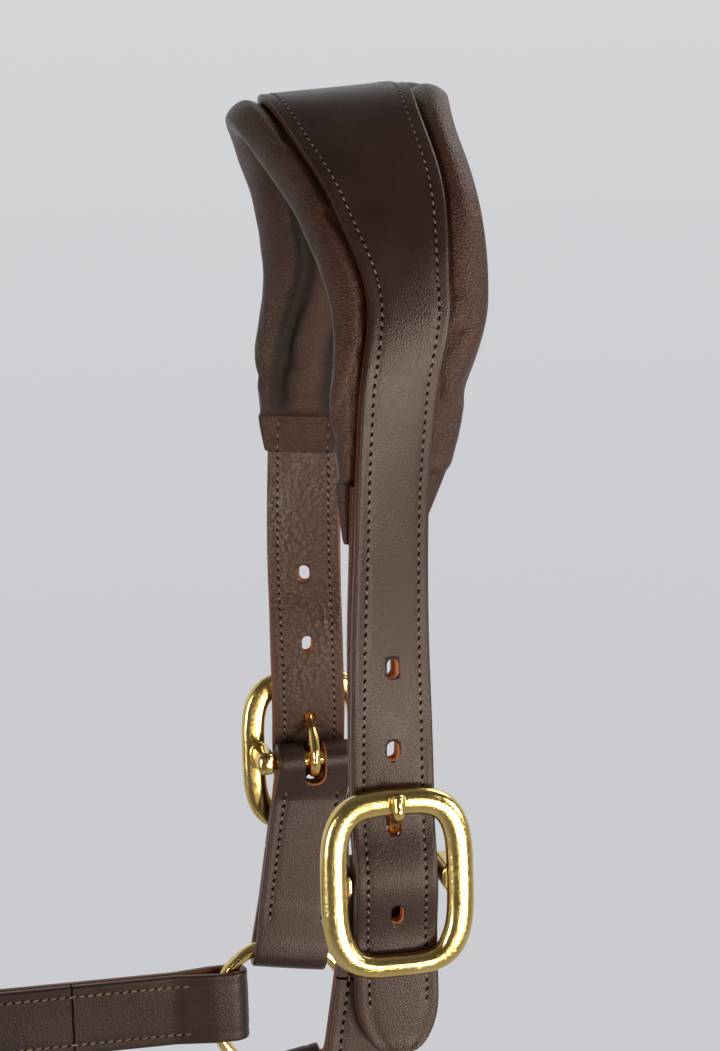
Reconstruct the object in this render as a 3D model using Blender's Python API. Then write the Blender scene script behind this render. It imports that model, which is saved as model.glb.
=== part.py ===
"""Leather halter with a padded crown, solid brass fittings and a rolled throat strap.

Units are metres. +Z is up, -X is towards the horse's nose, -Y is the horse's left (near) side.
The origin is the middle of the crown pad's underside, where it rests on the poll.
"""
from math import acos, atan2, cos, hypot, pi, radians, sin, sqrt, tan

import bmesh
import bpy
import numpy as np
from mathutils import Matrix, Vector

# Leather and clearances
GAP = 0.0003
STRAP_WIDTH = 0.0254
STRAP_THICKNESS = 0.0030
LINING_THICKNESS = 0.0020
FOLD_THICKNESS = 0.0028
CHAPE_WIDTH = 0.0260
THROAT_END_WIDTH = 0.0190
EDGE_CHAMFER = 0.0005
BUTT_GAP = 0.0008

# Crown: arc length from the poll down each leg
TONGUE_HOLE_AT = 0.250
HOLE_PITCH = 0.0254
HOLES_ABOVE = 2
HOLES_BELOW = 1
HOLE_WIDTH = 0.0038
HOLE_LENGTH = 0.0060
BILLET_BEYOND_HOLE = 0.070
TIP_LENGTH = 0.018
TIP_WIDTH = 0.007
TIP_RUN_IN = 0.003
STATION_STEP = 0.0092
STATION_SHARES = (1.0, 0.7, 0.37, 1.0, 0.7, 2.0)
BILLET_RISE = 0.0030
BILLET_RISE_REACH = 0.020

# Slope of the crown below horizontal by arc length, in degrees. The legs hang plumb at the end
CROWN_SLOPE = (
    (0.000, 0.0),
    (0.025, 30.5),
    (0.050, 49.5),
    (0.075, 67.0),
    (0.100, 76.5),
    (0.130, 85.0),
    (0.170, 89.0),
    (0.215, 90.0),
    (0.330, 90.0),
)

# Crown shape by arc length: rearward shift, twist in degrees, half width of the strap
CROWN_SHAPE = (
    (0.000, 0.0038, 3.0, 0.0222),
    (0.030, 0.0061, 13.0, 0.0196),
    (0.060, 0.0113, 11.0, 0.0166),
    (0.090, 0.0135, -6.0, 0.0127),
    (0.120, 0.0079, -17.0, 0.0127),
    (0.155, 0.0044, -22.0, 0.0127),
    (0.200, 0.0030, -13.0, 0.0127),
    (0.240, 0.0030, 0.0, 0.0127),
    (0.330, 0.0030, 0.0, 0.0127),
)
LEG_SHIFT = CROWN_SHAPE[-1][1]
UNTWIST = tuple(row[0] for row in CROWN_SHAPE[5:8])

# Crown pad by arc length: front reach, rear reach and thickness of the stuffed roll
PAD_SHAPE = (
    (0.000, 0.0333, 0.0358, 0.0108),
    (0.030, 0.0309, 0.0303, 0.0106),
    (0.060, 0.0278, 0.0268, 0.0100),
    (0.090, 0.0231, 0.0263, 0.0094),
    (0.120, 0.0191, 0.0260, 0.0086),
    (0.140, 0.0161, 0.0235, 0.0066),
    (0.148, 0.0143, 0.0173, 0.0052),
)
PAD_BODY_END = PAD_SHAPE[-1][0]
PAD_TAB_LENGTH = 0.016
PAD_STEP = 0.0122
PAD_COVER_THICKNESS = 0.0013
PAD_ROLL_RISE = 0.0014
PAD_SLOT_INSET = 0.0065
PAD_SEAT_GAP = 0.0004
PAD_CHANNEL = 0.0032
PAD_CHANNEL_INSET = 0.0038
PAD_PANEL_INSET = 0.0085
LINING_START = PAD_BODY_END + 0.0045
POLL_HEIGHT = PAD_SHAPE[0][3]

# Buckle
BAR_BELOW_HOLE = 0.0150
BAR_DIAMETER = 0.0058
BUCKLE_WIDTH = 0.0468
BUCKLE_HEIGHT = 0.0590
BUCKLE_BAR_WIDTH = 0.0080
BUCKLE_BAR_THICKNESS = 0.0050
BUCKLE_SQUARENESS = 3.6
LUG_HEIGHT = 0.0080
LUG_CLEARANCE = 0.0008
TONGUE_DIAMETER = 0.0034
TONGUE_TIP_OVERHANG = 0.0028
TONGUE_HOLE_PLAY = 0.0008
SLOT_WIDTH = 0.0088
SLOT_BELOW_BAR = 0.0094

# Rings
RING_RADIUS = 0.0245
RING_WIRE = 0.0046
FOLD_REACH = 0.0140
CHEEK_RISE = 0.0035

# Lower half, measured between ring centres
BAR_TO_RING = 0.0915
CHAPE_LEAN = radians(9)
CHAPE_LEAN_START = 0.0030
CHAPE_TURN_REACH = 0.0250
CHEEK_LENGTH = 0.1500
CHIN_DROP = 0.1290
CHIN_CORNER = 0.0250
NOSE_FORWARD = 0.0620
NOSE_DEPTH = 0.0520
NOSEBAND_WIDTH = 0.0380
NOSE_TAIL = 0.0330
ROLL_DIAMETER = 0.0100
ROLL_CORE_DIAMETER = 0.0050
ROLL_CORNER = 0.0360
ROLL_TAPER = 0.0130

# Snap hook on the left of the throat strap
HOOK_WIRE = 0.0042
HOOK_MOUTH = 0.0100
HOOK_HEIGHT = 0.0150
SNAP_BASE_DEPTH = 0.0094
BASE_HEIGHT = 0.0166
GATE_DIAMETER = 0.0034
GATE_SLOT = 0.0042
GATE_SLOT_DEPTH = 0.0050
GATE_PIN = 0.0018
SPRING_THICKNESS = 0.0004
SWIVEL_SHANK = 0.0038
SWIVEL_HEAD = 0.0064
SWIVEL_HEAD_HEIGHT = 0.0022
SWIVEL_FLOOR = 0.0030
EYE_INSIDE = 0.0215
EYE_DROP = 0.0070
EYE_WIRE = 0.0034
EYE_REACH = 0.0090

# Movement
JAW_SWING = radians(16)

X, Y, Z = Vector((1.0, 0.0, 0.0)), Vector((0.0, 1.0, 0.0)), Vector((0.0, 0.0, 1.0))

# Places worked out from the sizes above
BILLET_BACK = LINING_THICKNESS + GAP
BAR_DEPTH = BILLET_BACK - BILLET_RISE + 2 * GAP + TONGUE_DIAMETER + BAR_DIAMETER / 2
LAYER_OFFSET = (FOLD_THICKNESS + GAP) / 2
CHAPE_MIDDLE = BILLET_BACK + GAP + FOLD_THICKNESS + GAP / 2
BAR_AT = TONGUE_HOLE_AT + BAR_BELOW_HOLE
TIP_AT = TONGUE_HOLE_AT + BILLET_BEYOND_HOLE
WIRE_RADIUS = RING_WIRE / 2
TIP_RISE = WIRE_RADIUS + FOLD_THICKNESS + 3 * GAP - (CHAPE_MIDDLE - BILLET_BACK)


def smooth_value(table, s, column):
    """Monotone cubic value of one column of a table whose first column is arc length."""
    xs = np.array([row[0] for row in table])
    ys = np.array([row[column] for row in table])
    slopes = np.diff(ys) / np.diff(xs)
    tangents = np.zeros(len(xs))
    for i in range(1, len(xs) - 1):
        a, b = slopes[i - 1], slopes[i]
        tangents[i] = 2 * a * b / (a + b) if a * b > 0 else 0.0
    s = min(max(s, xs[0]), xs[-1])
    i = min(int(np.searchsorted(xs, s, side="right")) - 1, len(xs) - 2)
    h = xs[i + 1] - xs[i]
    t = (s - xs[i]) / h
    return float(
        (1 + 2 * t) * (1 - t) ** 2 * ys[i]
        + t * (1 - t) ** 2 * h * tangents[i]
        + t * t * (3 - 2 * t) * ys[i + 1]
        + t * t * (t - 1) * h * tangents[i + 1]
    )


def leg_angle(s):
    """Slope of the crown below horizontal at arc length s from the poll."""
    return radians(smooth_value(CROWN_SLOPE, s, 1))


def crown_line(step=0.0005):
    """Sideways reach and height of the crown's sewing plane, sampled down one leg."""
    lengths = np.arange(0.0, TIP_AT + 0.02, step)
    mid = [leg_angle(s + step / 2) for s in lengths[:-1]]
    reach = np.concatenate([[0.0], np.cumsum(np.cos(mid)) * step])
    drop = np.concatenate([[0.0], np.cumsum(np.sin(mid)) * step])
    return lengths, reach, POLL_HEIGHT - drop


LENGTHS, REACH, HEIGHT = crown_line()
LEG_REACH = float(np.interp(BAR_AT, LENGTHS, REACH))
BAR_HEIGHT = float(np.interp(BAR_AT, LENGTHS, HEIGHT))
RING_Y = LEG_REACH - CHAPE_MIDDLE
RING_Z = BAR_HEIGHT - BAR_TO_RING
RING_X = LEG_SHIFT - (BAR_TO_RING - CHAPE_LEAN_START) * tan(CHAPE_LEAN)
NOSE_X = RING_X - CHEEK_LENGTH
THROAT_TILT = atan2(RING_RADIUS, CHIN_DROP)
THROAT_DROP = hypot(RING_RADIUS, CHIN_DROP)


def crown_frame(s):
    """Centre, rearward side vector and outward normal of the crown at signed arc length s."""
    hand = 1.0 if s >= 0 else -1.0
    s = abs(s)
    slope = leg_angle(s)
    centre = Vector((
        smooth_value(CROWN_SHAPE, s, 1),
        hand * float(np.interp(s, LENGTHS, REACH)),
        float(np.interp(s, LENGTHS, HEIGHT)),
    ))
    normal = Vector((0.0, hand * sin(slope), cos(slope)))
    twist = radians(smooth_value(CROWN_SHAPE, s, 2))
    across = Vector((1.0, 0.0, 0.0))
    side = cos(twist) * across + sin(twist) * normal
    outward = cos(twist) * normal - sin(twist) * across
    centre += outward * billet_rise(s)
    return centre, side, outward


def smoothstep(t):
    t = min(max(t, 0.0), 1.0)
    return t * t * (3 - 2 * t)


def billet_rise(s):
    """How far the billet stands out over the centre bar, and at its tip over the ring's fold."""
    t = abs(s - BAR_AT) / BILLET_RISE_REACH
    over_bar = BILLET_RISE * cos(t * pi / 2) ** 2 if t < 1 else 0.0
    wire_at = BAR_AT + BAR_TO_RING - RING_RADIUS
    return over_bar + TIP_RISE * smoothstep((s - wire_at + FOLD_REACH + TIP_RUN_IN) / FOLD_REACH)


def strap_half_width(s):
    """Half width of the crown strap, rounded off to the billet's tip."""
    s = abs(s)
    full = smooth_value(CROWN_SHAPE, s, 3)
    into_tip = (s - (TIP_AT - TIP_LENGTH)) / TIP_LENGTH
    if into_tip <= 0:
        return full
    return TIP_WIDTH / 2 + (full - TIP_WIDTH / 2) * sqrt(max(1 - into_tip ** 2, 0.0))


def clear_scene():
    for item in list(bpy.data.objects):
        bpy.data.objects.remove(item, do_unlink=True)


def new_collection(name):
    collection = bpy.data.collections.new(name)
    bpy.context.scene.collection.children.link(collection)
    return collection


def make_material(name, colour, roughness, metallic=0.0):
    material = bpy.data.materials.new(name)
    material.use_nodes = True
    shader = material.node_tree.nodes["Principled BSDF"]
    shader.inputs["Base Color"].default_value = (*colour, 1.0)
    shader.inputs["Roughness"].default_value = roughness
    shader.inputs["Metallic"].default_value = metallic
    return material


clear_scene()
PARTS = new_collection("leather_halter")
CUTTERS = new_collection("cutters")
LEATHER = (0.045, 0.021, 0.012)
PAD_LEATHER = (0.060, 0.024, 0.013)
LINING_LEATHER = (0.070, 0.034, 0.020)
FOAM = (0.55, 0.50, 0.40)
CORD = (0.45, 0.40, 0.30)
BRASS = (0.62, 0.44, 0.16)
STEEL = (0.45, 0.45, 0.46)


def make_joint(name, place, parent=None, tilt=0.0, turn=0.0):
    """An empty on a joint's axis, which carries the pieces that move with it."""
    empty = bpy.data.objects.new(name, None)
    empty.empty_display_size = 0.01
    PARTS.objects.link(empty)
    empty.rotation_euler = (0.0, tilt, turn)
    empty.location = place
    if parent:
        bpy.context.view_layer.update()
        empty.parent = parent
        empty.matrix_parent_inverse = parent.matrix_world.inverted()
    bpy.context.view_layer.update()
    return empty


def add_piece(name, mesh, colour, roughness=0.5, metallic=0.0, carrier=None, local=False):
    """Link a mesh as a piece. A world-space mesh is brought into its carrier's space first."""
    piece = bpy.data.objects.new(name, mesh)
    mesh.name = name
    mesh.materials.clear()
    mesh.materials.append(make_material(name, colour, roughness, metallic))
    PARTS.objects.link(piece)
    if carrier:
        if not local:
            mesh.transform(carrier.matrix_world.inverted())
        piece.parent = carrier
    mesh.shade_smooth()
    mesh.set_sharp_from_angle(angle=radians(35))
    bpy.context.view_layer.update()
    return piece


def loft(rings, closed=False):
    """Skin a row of point rings, with flat ends unless the row is closed on itself."""
    bm = bmesh.new()
    rows = [[bm.verts.new(point) for point in ring] for ring in rings]
    spans = len(rows) if closed else len(rows) - 1
    for i in range(spans):
        near, far = rows[i], rows[(i + 1) % len(rows)]
        for j in range(len(near)):
            k = (j + 1) % len(near)
            bm.faces.new((near[j], near[k], far[k], far[j]))
    if not closed:
        bm.faces.new(reversed(rows[0]))
        bm.faces.new(rows[-1])
    bmesh.ops.recalc_face_normals(bm, faces=bm.faces)
    mesh = bpy.data.meshes.new("loft")
    bm.to_mesh(mesh)
    bm.free()
    return mesh


def flat_section(half_width, inner, outer):
    """Strap section with broken edges, as (side, normal) pairs."""
    w, c = half_width, EDGE_CHAMFER
    return (
        (-w, inner + c), (-w + c, inner), (w - c, inner), (w, inner + c),
        (w, outer - c), (w - c, outer), (-w + c, outer), (-w, outer - c),
    )


def crown_ring(s, section):
    centre, side, normal = crown_frame(s)
    return [centre + u * side + v * normal for u, v in section]


def stations(start, end, step=STATION_STEP):
    count = max(int(round((end - start) / step)), 1)
    return [start + (end - start) * i / count for i in range(count + 1)]


def leg_stations():
    """Stations down a leg to the tip, closer together where the strap bends or narrows."""
    rise = (BAR_AT - BILLET_RISE_REACH, BAR_AT + BILLET_RISE_REACH)
    bends = (PAD_BODY_END, *UNTWIST, *rise, TIP_AT - TIP_LENGTH)
    row = stations(0.0, PAD_BODY_END, PAD_STEP)
    for one, other, share in zip(bends, bends[1:], STATION_SHARES):
        row += stations(one, other, share * STATION_STEP)[1:]
    return row + [TIP_AT - TIP_LENGTH * (1 - sin(t * pi / 10)) for t in range(1, 6)]


def cut(piece, cutter, operation="DIFFERENCE"):
    """Apply a boolean, and take the second shape away when it was joined on."""
    modifier = piece.modifiers.new(cutter.name, "BOOLEAN")
    modifier.operation = operation
    modifier.object = cutter
    modifier.solver = "EXACT"
    if operation == "UNION":
        bpy.context.view_layer.update()
        evaluated = piece.evaluated_get(bpy.context.evaluated_depsgraph_get())
        joined = bpy.data.meshes.new_from_object(evaluated)
        joined.name = piece.name
        piece.modifiers.remove(modifier)
        piece.data = joined
        bpy.data.objects.remove(cutter)


def add_cutter(name, mesh):
    cutter = bpy.data.objects.new(name, mesh)
    CUTTERS.objects.link(cutter)
    cutter.hide_render = True
    cutter.display_type = "WIRE"
    return cutter


def cylinder_mesh(radius, length, sides=16, matrix=Matrix()):
    bm = bmesh.new()
    bmesh.ops.create_cone(
        bm, cap_ends=True, segments=sides, radius1=radius, radius2=radius, depth=length, matrix=matrix
    )
    mesh = bpy.data.meshes.new("cylinder")
    bm.to_mesh(mesh)
    bm.free()
    return mesh


def box_mesh(size, centre):
    bm = bmesh.new()
    bmesh.ops.create_cube(bm, size=1.0, matrix=Matrix.Translation(centre) @ Matrix.Diagonal((*size, 1.0)))
    mesh = bpy.data.meshes.new("box")
    bm.to_mesh(mesh)
    bm.free()
    return mesh


# Crown strap and its lining

def oval_cutter(name, s, side_width, length, lean=0.0):
    """An oval punch through the billet, leaning outwards as it rises when lean is given."""
    centre, side, normal = crown_frame(s)
    up = side.cross(normal) if s >= 0 else normal.cross(side)
    axis = cos(lean) * normal + sin(lean) * up
    along = cos(lean) * up - sin(lean) * normal
    depth = 0.030
    middle = centre + normal * (STRAP_THICKNESS - BILLET_BACK) / 2
    turn = Matrix((along.cross(axis), along, axis)).transposed().to_4x4()
    stretch = Matrix.Diagonal((side_width / 2, length / 2, 1.0, 1.0))
    mesh = cylinder_mesh(1.0, depth, 20, Matrix.Translation(middle) @ turn @ stretch)
    return add_cutter(name, mesh)


def punch_billet(pieces, hand, label):
    """The row of adjusting holes, and the tongue's hole pulled aslant by the tongue."""
    for step in range(-HOLES_ABOVE, HOLES_BELOW + 1):
        s = hand * (TONGUE_HOLE_AT + step * HOLE_PITCH)
        if step == 0:
            punch = oval_cutter(
                f"tongue_hole_{label}", s, TONGUE_DIAMETER + 2 * TONGUE_HOLE_PLAY,
                TONGUE_DIAMETER + 2 * TONGUE_HOLE_PLAY, radians(45),
            )
        else:
            punch = oval_cutter(f"hole_{label}_{step + HOLES_ABOVE}", s, HOLE_WIDTH, HOLE_LENGTH)
        for piece in pieces:
            cut(piece, punch)


def build_crown_strap():
    leg = leg_stations()
    row = [-s for s in reversed(leg)] + leg[1:]
    rings = [crown_ring(s, flat_section(strap_half_width(s), 0.0, STRAP_THICKNESS)) for s in row]
    return add_piece("crown_strap", loft(rings), LEATHER, 0.42)


def build_crown_lining(hand, label):
    leg = [LINING_START] + [s for s in leg_stations() if s > LINING_START + GAP]
    inner, outer = -GAP - LINING_THICKNESS, -GAP
    rings = []
    for s in sorted(hand * s for s in leg):
        half = strap_half_width(s)
        rings.append(crown_ring(s, ((-half, outer), (half, outer), (half, inner), (-half, inner))))
    return add_piece(f"crown_lining_{label}", loft(rings), LINING_LEATHER, 0.6)


# Crown pad: a soft cover sewn under the strap's edges round a foam core

def pad_section(s, inset=0.0):
    """Stuffed rolls each side of the strap, as (side, normal) pairs round the section."""
    front, rear, thick = (smooth_value(PAD_SHAPE, abs(s), column) for column in (1, 2, 3))
    half = strap_half_width(s)
    puff = (thick - PAD_SHAPE[-1][3]) / (PAD_SHAPE[0][3] - PAD_SHAPE[-1][3])
    channel = PAD_CHANNEL * puff
    flatten = (thick / 2 - inset) / (thick / 2)
    sides = []
    for sign, reach in ((-1, front), (1, rear)):
        spare = reach - half - GAP
        rise = min(PAD_ROLL_RISE, spare * 0.3) * puff
        edge = (
            (half - PAD_SLOT_INSET, -PAD_SEAT_GAP),
            (half + GAP, -PAD_SEAT_GAP),
            (half + 0.45 * spare, rise - GAP),
            (half + 0.80 * spare, 0.2 * rise - 0.08 * thick),
            (reach, -0.36 * thick),
            (half + 0.92 * spare, -0.66 * thick),
            (half + 0.62 * spare, -0.90 * thick),
            (half + 0.10 * spare, -thick),
            (half - PAD_CHANNEL_INSET, -thick + channel),
            (half - PAD_PANEL_INSET, -thick + 0.2 * channel),
        )
        narrow = (reach - inset) / reach
        sides.append([(sign * u * narrow, (v + thick / 2) * flatten - thick / 2) for u, v in edge])
    front_edge, rear_edge = sides
    return rear_edge + list(reversed(front_edge))


def pad_tab_section():
    """The cover's flat end, which is stitched over the start of the lining."""
    half = STRAP_WIDTH / 2
    top = -BILLET_BACK - GAP
    low = top - PAD_COVER_THICKNESS
    fractions = (0.2, 0.5, 0.7, 0.85, 1.0, 1.0, 0.85, 0.7, 0.5, 0.2)
    levels = (top, top, top, top, top, low, low, low, low, low)
    rear = [(half * f, v) for f, v in zip(fractions, levels)]
    front = [(-u, v) for u, v in reversed(rear)]
    return rear + front


def pad_row(end):
    leg = stations(0.0, end, PAD_STEP)
    return [-s for s in reversed(leg)] + leg[1:]


def build_crown_pad():
    body = [crown_ring(s, pad_section(s)) for s in pad_row(PAD_BODY_END)]
    tab = pad_tab_section()
    tab_start = LINING_START - 2 * GAP
    tab_end = PAD_BODY_END + PAD_TAB_LENGTH
    first = [crown_ring(-s, tab) for s in (tab_end, tab_start)]
    last = [crown_ring(s, tab) for s in (tab_start, tab_end)]
    cover = add_piece("crown_pad_cover", loft(first + body + last), PAD_LEATHER, 0.5)
    room_end = PAD_BODY_END - PAD_COVER_THICKNESS
    room = [crown_ring(s, pad_room(s, PAD_COVER_THICKNESS)) for s in pad_row(room_end)]
    cut(cover, add_cutter("pad_room", loft(room)))
    core_end = room_end - GAP
    core_rings = [crown_ring(s, pad_core(s)) for s in pad_row(core_end)]
    add_piece("crown_pad_core", loft(core_rings), FOAM, 0.9)


def pad_room(s, inset):
    """Inside of the cover, open upwards between the strap's two rows of stitching."""
    section = pad_section(s, inset)
    lifted = STRAP_THICKNESS / 2
    opened = list(section)
    opened[0] = (section[0][0], lifted)
    opened[-1] = (section[-1][0], lifted)
    return opened


def pad_core(s):
    """The foam, clear of the cover all round and of the strap above it."""
    section = pad_section(s, PAD_COVER_THICKNESS + GAP)
    core = list(section)
    core[0] = (section[0][0] - GAP, -3 * GAP)
    core[-1] = (section[-1][0] + GAP, -3 * GAP)
    for i in (7, 8, 9, 10, 11, 12):
        core[i] = (section[i][0], section[i][1] + GAP)
    return core


# Folded straps

def wrap_points(pin_radius, sag=0.0, pin_offset=0.0, reach=FOLD_REACH, play=GAP, steps=4):
    """Centre line of a strap that comes in on its +c layer and goes back round a pin on its -c layer.

    The strap lies on +a, and the pin's centre is at (0, pin_offset). A ring's wire curves away
    inside the fold, so the fold reaches back to -sag.
    """
    radius = pin_radius + play + FOLD_THICKNESS / 2
    sides = []
    for sign in (1, -1):
        level = LAYER_OFFSET - sign * pin_offset
        tangent = atan2(level, reach) + acos(radius / hypot(level, reach))
        tangent = min(tangent, pi / 2)
        arc = [tangent + (pi / 2 - tangent) * i / 2 for i in range(3)]
        round_pin = [(radius * cos(t), pin_offset + sign * radius * sin(t)) for t in arc]
        sides.append([(reach, sign * LAYER_OFFSET)] + round_pin)
    angles = [pi / 2 + pi * i / (2 * steps) for i in range(2 * steps + 1)]
    round_end = [(-sag + radius * cos(t), pin_offset + radius * sin(t)) for t in angles]
    return sides[0] + round_end + list(reversed(sides[1]))


def drop_repeats(points, least=0.00005):
    kept = [points[0]]
    for point in points[1:]:
        if hypot(point[0] - kept[-1][0], point[1] - kept[-1][1]) > least:
            kept.append(point)
    return kept


def fold_sag(half_width):
    """How far a ring's wire bends away across the width of the strap folded round it."""
    inner = RING_RADIUS - WIRE_RADIUS
    return inner - sqrt(inner ** 2 - half_width ** 2)


def strip(path, half_width, origin, along, across, thickness=FOLD_THICKNESS):
    """A flat strip swept along a path in the plane of two directions."""
    path = drop_repeats(path)
    wide = along.cross(across)
    rings = []
    for i, (a, c) in enumerate(path):
        before, after = path[max(i - 1, 0)], path[min(i + 1, len(path) - 1)]
        run = Vector((after[0] - before[0], after[1] - before[1])).normalized()
        normal = -run.y * along + run.x * across
        centre = origin + a * along + c * across
        half = half_width(a, c) if callable(half_width) else half_width
        edge, skin = half * wide, thickness / 2 * normal
        rings.append([
            centre - edge - skin, centre + edge - skin, centre + edge + skin, centre - edge + skin
        ])
    return loft(rings)


def folded_path(length, near, far, between=()):
    """Path round two pins, open at a butt joint half way along the layer on the -c side."""
    butt = length / 2
    out = [(a, -LAYER_OFFSET) for a in sorted(between) if a > butt + BUTT_GAP]
    back = [(a, LAYER_OFFSET) for a in sorted(between, reverse=True)]
    home = [(a, -LAYER_OFFSET) for a in sorted(between) if a < butt - BUTT_GAP]
    far_turn = [(length - a, -c) for a, c in wrap_points(**far)]
    start = [(butt + BUTT_GAP / 2, -LAYER_OFFSET)]
    end = [(butt - BUTT_GAP / 2, -LAYER_OFFSET)]
    return start + out + far_turn + back + wrap_points(**near) + home + end


def ring_fold(half_width, **more):
    """The wrap of a strap of this half width round a ring's wire."""
    return dict(pin_radius=WIRE_RADIUS, sag=fold_sag(half_width), **more)


# Buckles

def oval_point(angle, half_width, half_height, power=BUCKLE_SQUARENESS):
    c, s = cos(angle), sin(angle)
    x = half_width * abs(c) ** (2 / power) * (1 if c >= 0 else -1)
    z = half_height * abs(s) ** (2 / power) * (1 if s >= 0 else -1)
    return Vector((x, 0.0, z))


def frame_centre_line(count=36):
    """Bowed-sided oval through the middle of the buckle's bars, evenly spaced."""
    half_width = (BUCKLE_WIDTH - BUCKLE_BAR_WIDTH) / 2
    half_height = (BUCKLE_HEIGHT - BUCKLE_BAR_WIDTH) / 2
    fine = [oval_point(2 * pi * i / 2000, half_width, half_height) for i in range(2001)]
    steps = [0.0]
    for one, other in zip(fine, fine[1:]):
        steps.append(steps[-1] + (other - one).length)
    picks = [steps[-1] * i / count for i in range(count)]
    return [fine[int(np.searchsorted(steps, pick))] for pick in picks]


def build_buckle_frame(label, carrier):
    """Cast frame with a domed face, and two lugs that hold the round centre bar behind it."""
    face_back = BAR_DEPTH + STRAP_THICKNESS + GAP
    level = face_back + BUCKLE_BAR_THICKNESS / 2
    line = frame_centre_line()
    rings = []
    for i, point in enumerate(line):
        run = (line[(i + 1) % len(line)] - line[i - 1]).normalized()
        out = Vector((run.z, 0.0, -run.x))
        ring = []
        for k in range(10):
            angle = 2 * pi * k / 10
            wide = BUCKLE_BAR_WIDTH / 2 * cos(angle)
            thick = BUCKLE_BAR_THICKNESS / 2 * sin(angle)
            ring.append(point + wide * out + Vector((0.0, level + thick, 0.0)))
        rings.append(ring)
    frame = add_piece(f"buckle_frame_{label}", loft(rings, closed=True), BRASS, 0.25, 1.0, carrier, True)
    inside = CHAPE_WIDTH / 2 + LUG_CLEARANCE
    outside = (BUCKLE_WIDTH - BUCKLE_BAR_WIDTH) / 2 + BUCKLE_BAR_WIDTH / 8
    for sign in (-1, 1):
        size = (outside - inside, level + BAR_DIAMETER, LUG_HEIGHT)
        centre = (sign * (inside + outside) / 2, level / 2 - BAR_DIAMETER / 4, 0.0)
        lug = add_joined_shape(box_mesh(size, centre), carrier)
        cut(frame, lug, "UNION")
    turn = Matrix.Rotation(pi / 2, 4, "Y")
    bar = add_joined_shape(cylinder_mesh(BAR_DIAMETER / 2, inside + outside, 14, turn), carrier)
    cut(frame, bar, "UNION")
    return frame


def add_joined_shape(mesh, carrier=None):
    """A shape that a union is about to take in."""
    shape = bpy.data.objects.new("joined", mesh)
    CUTTERS.objects.link(shape)
    shape.parent = carrier
    shape.hide_render = True
    shape.display_type = "WIRE"
    bpy.context.view_layer.update()
    return shape


def curve_through(points, steps=3):
    """Smooth row of points through a few given ones, in the plane y up and z along."""
    rows = [Vector(point) for point in points]
    rows = [2 * rows[0] - rows[1]] + rows + [2 * rows[-1] - rows[-2]]
    smooth = []
    for i in range(1, len(rows) - 2):
        a, b, c, d = rows[i - 1:i + 3]
        for k in range(steps):
            t = k / steps
            smooth.append(
                0.5 * (2 * b + (c - a) * t + (2 * a - 5 * b + 4 * c - d) * t * t
                       + (3 * b - a - 3 * c + d) * t ** 3)
            )
    return smooth + [rows[-2]]


def tongue_line():
    """Eye round the bar, then behind the billet, out through its hole and onto the top bar.

    Points are (outward, up) from the bar's centre.
    """
    eye = BAR_DIAMETER / 2 + GAP + TONGUE_DIAMETER / 2
    angles = [radians(40 + 290 * i / 14) for i in range(15)]
    turn = [(eye * cos(t), eye * sin(t)) for t in angles]
    stack_middle = BAR_DEPTH + (STRAP_THICKNESS - BILLET_BACK) / 2
    hole = Vector((stack_middle + billet_rise(TONGUE_HOLE_AT), BAR_BELOW_HOLE))
    slant = Vector((1.0, 1.0)).normalized()
    top_bar = BUCKLE_HEIGHT / 2 - BUCKLE_BAR_WIDTH / 2
    rest = BAR_DEPTH + STRAP_THICKNESS + BUCKLE_BAR_THICKNESS + 2 * GAP + TONGUE_DIAMETER / 2
    shank = [
        Vector((eye, 0.0)),
        Vector((eye - 0.0006, 0.0042)),
        hole - 0.0052 * slant,
        hole,
        hole + 0.0052 * slant,
        Vector((rest - 0.0004, top_bar - 0.0032)),
        Vector((rest, top_bar)),
        Vector((rest - 0.0002, top_bar + TONGUE_TIP_OVERHANG)),
    ]
    full = [Vector(point) for point in turn[::-1]]
    return full, curve_through(shank)


def tube(points, radius, sides=8, wide=Vector((1.0, 0.0, 0.0))):
    """Round bar along a row of points, with flat ends."""
    rings = []
    for i, point in enumerate(points):
        run = (points[min(i + 1, len(points) - 1)] - points[max(i - 1, 0)]).normalized()
        across = run.cross(wide).normalized()
        size = radius[i] if isinstance(radius, list) else radius
        rings.append([
            point + size * (cos(2 * pi * k / sides) * wide + sin(2 * pi * k / sides) * across)
            for k in range(sides)
        ])
    return loft(rings)


def build_tongue(label, carrier):
    eye, shank = tongue_line()
    place = [Vector((0.0, point.x, point.y)) for point in shank]
    taper = [TONGUE_DIAMETER / 2 * (1.0 - 0.12 * i / len(place)) for i in range(len(place))]
    tongue = add_piece(f"buckle_tongue_{label}", tube(place, taper), BRASS, 0.25, 1.0, carrier, True)
    round_bar = [Vector((0.0, point.x, point.y)) for point in eye]
    cut(tongue, add_joined_shape(tube(round_bar, TONGUE_DIAMETER / 2), carrier), "UNION")


def slot_outline():
    """U-shaped slot in the fold, which the tongue's eye and shank pass through."""
    half = SLOT_WIDTH / 2
    low = half - SLOT_BELOW_BAR
    high = BAR_DIAMETER + 2 * FOLD_THICKNESS
    bottom = [(half * cos(t), low + half * sin(t)) for t in (pi + pi * i / 8 for i in range(9))]
    return bottom + [(half, high), (-half, high)]


def lean_forwards(point, forward):
    """Below the centre bar the chape swings towards the nose, and its front edge lifts as it turns."""
    below = max(-point.z - CHAPE_LEAN_START, 0.0)
    turned = smoothstep(below / CHAPE_TURN_REACH)
    point.z += forward * point.x * tan(CHAPE_LEAN) * turned
    point.x += forward * below * tan(CHAPE_LEAN)


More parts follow.
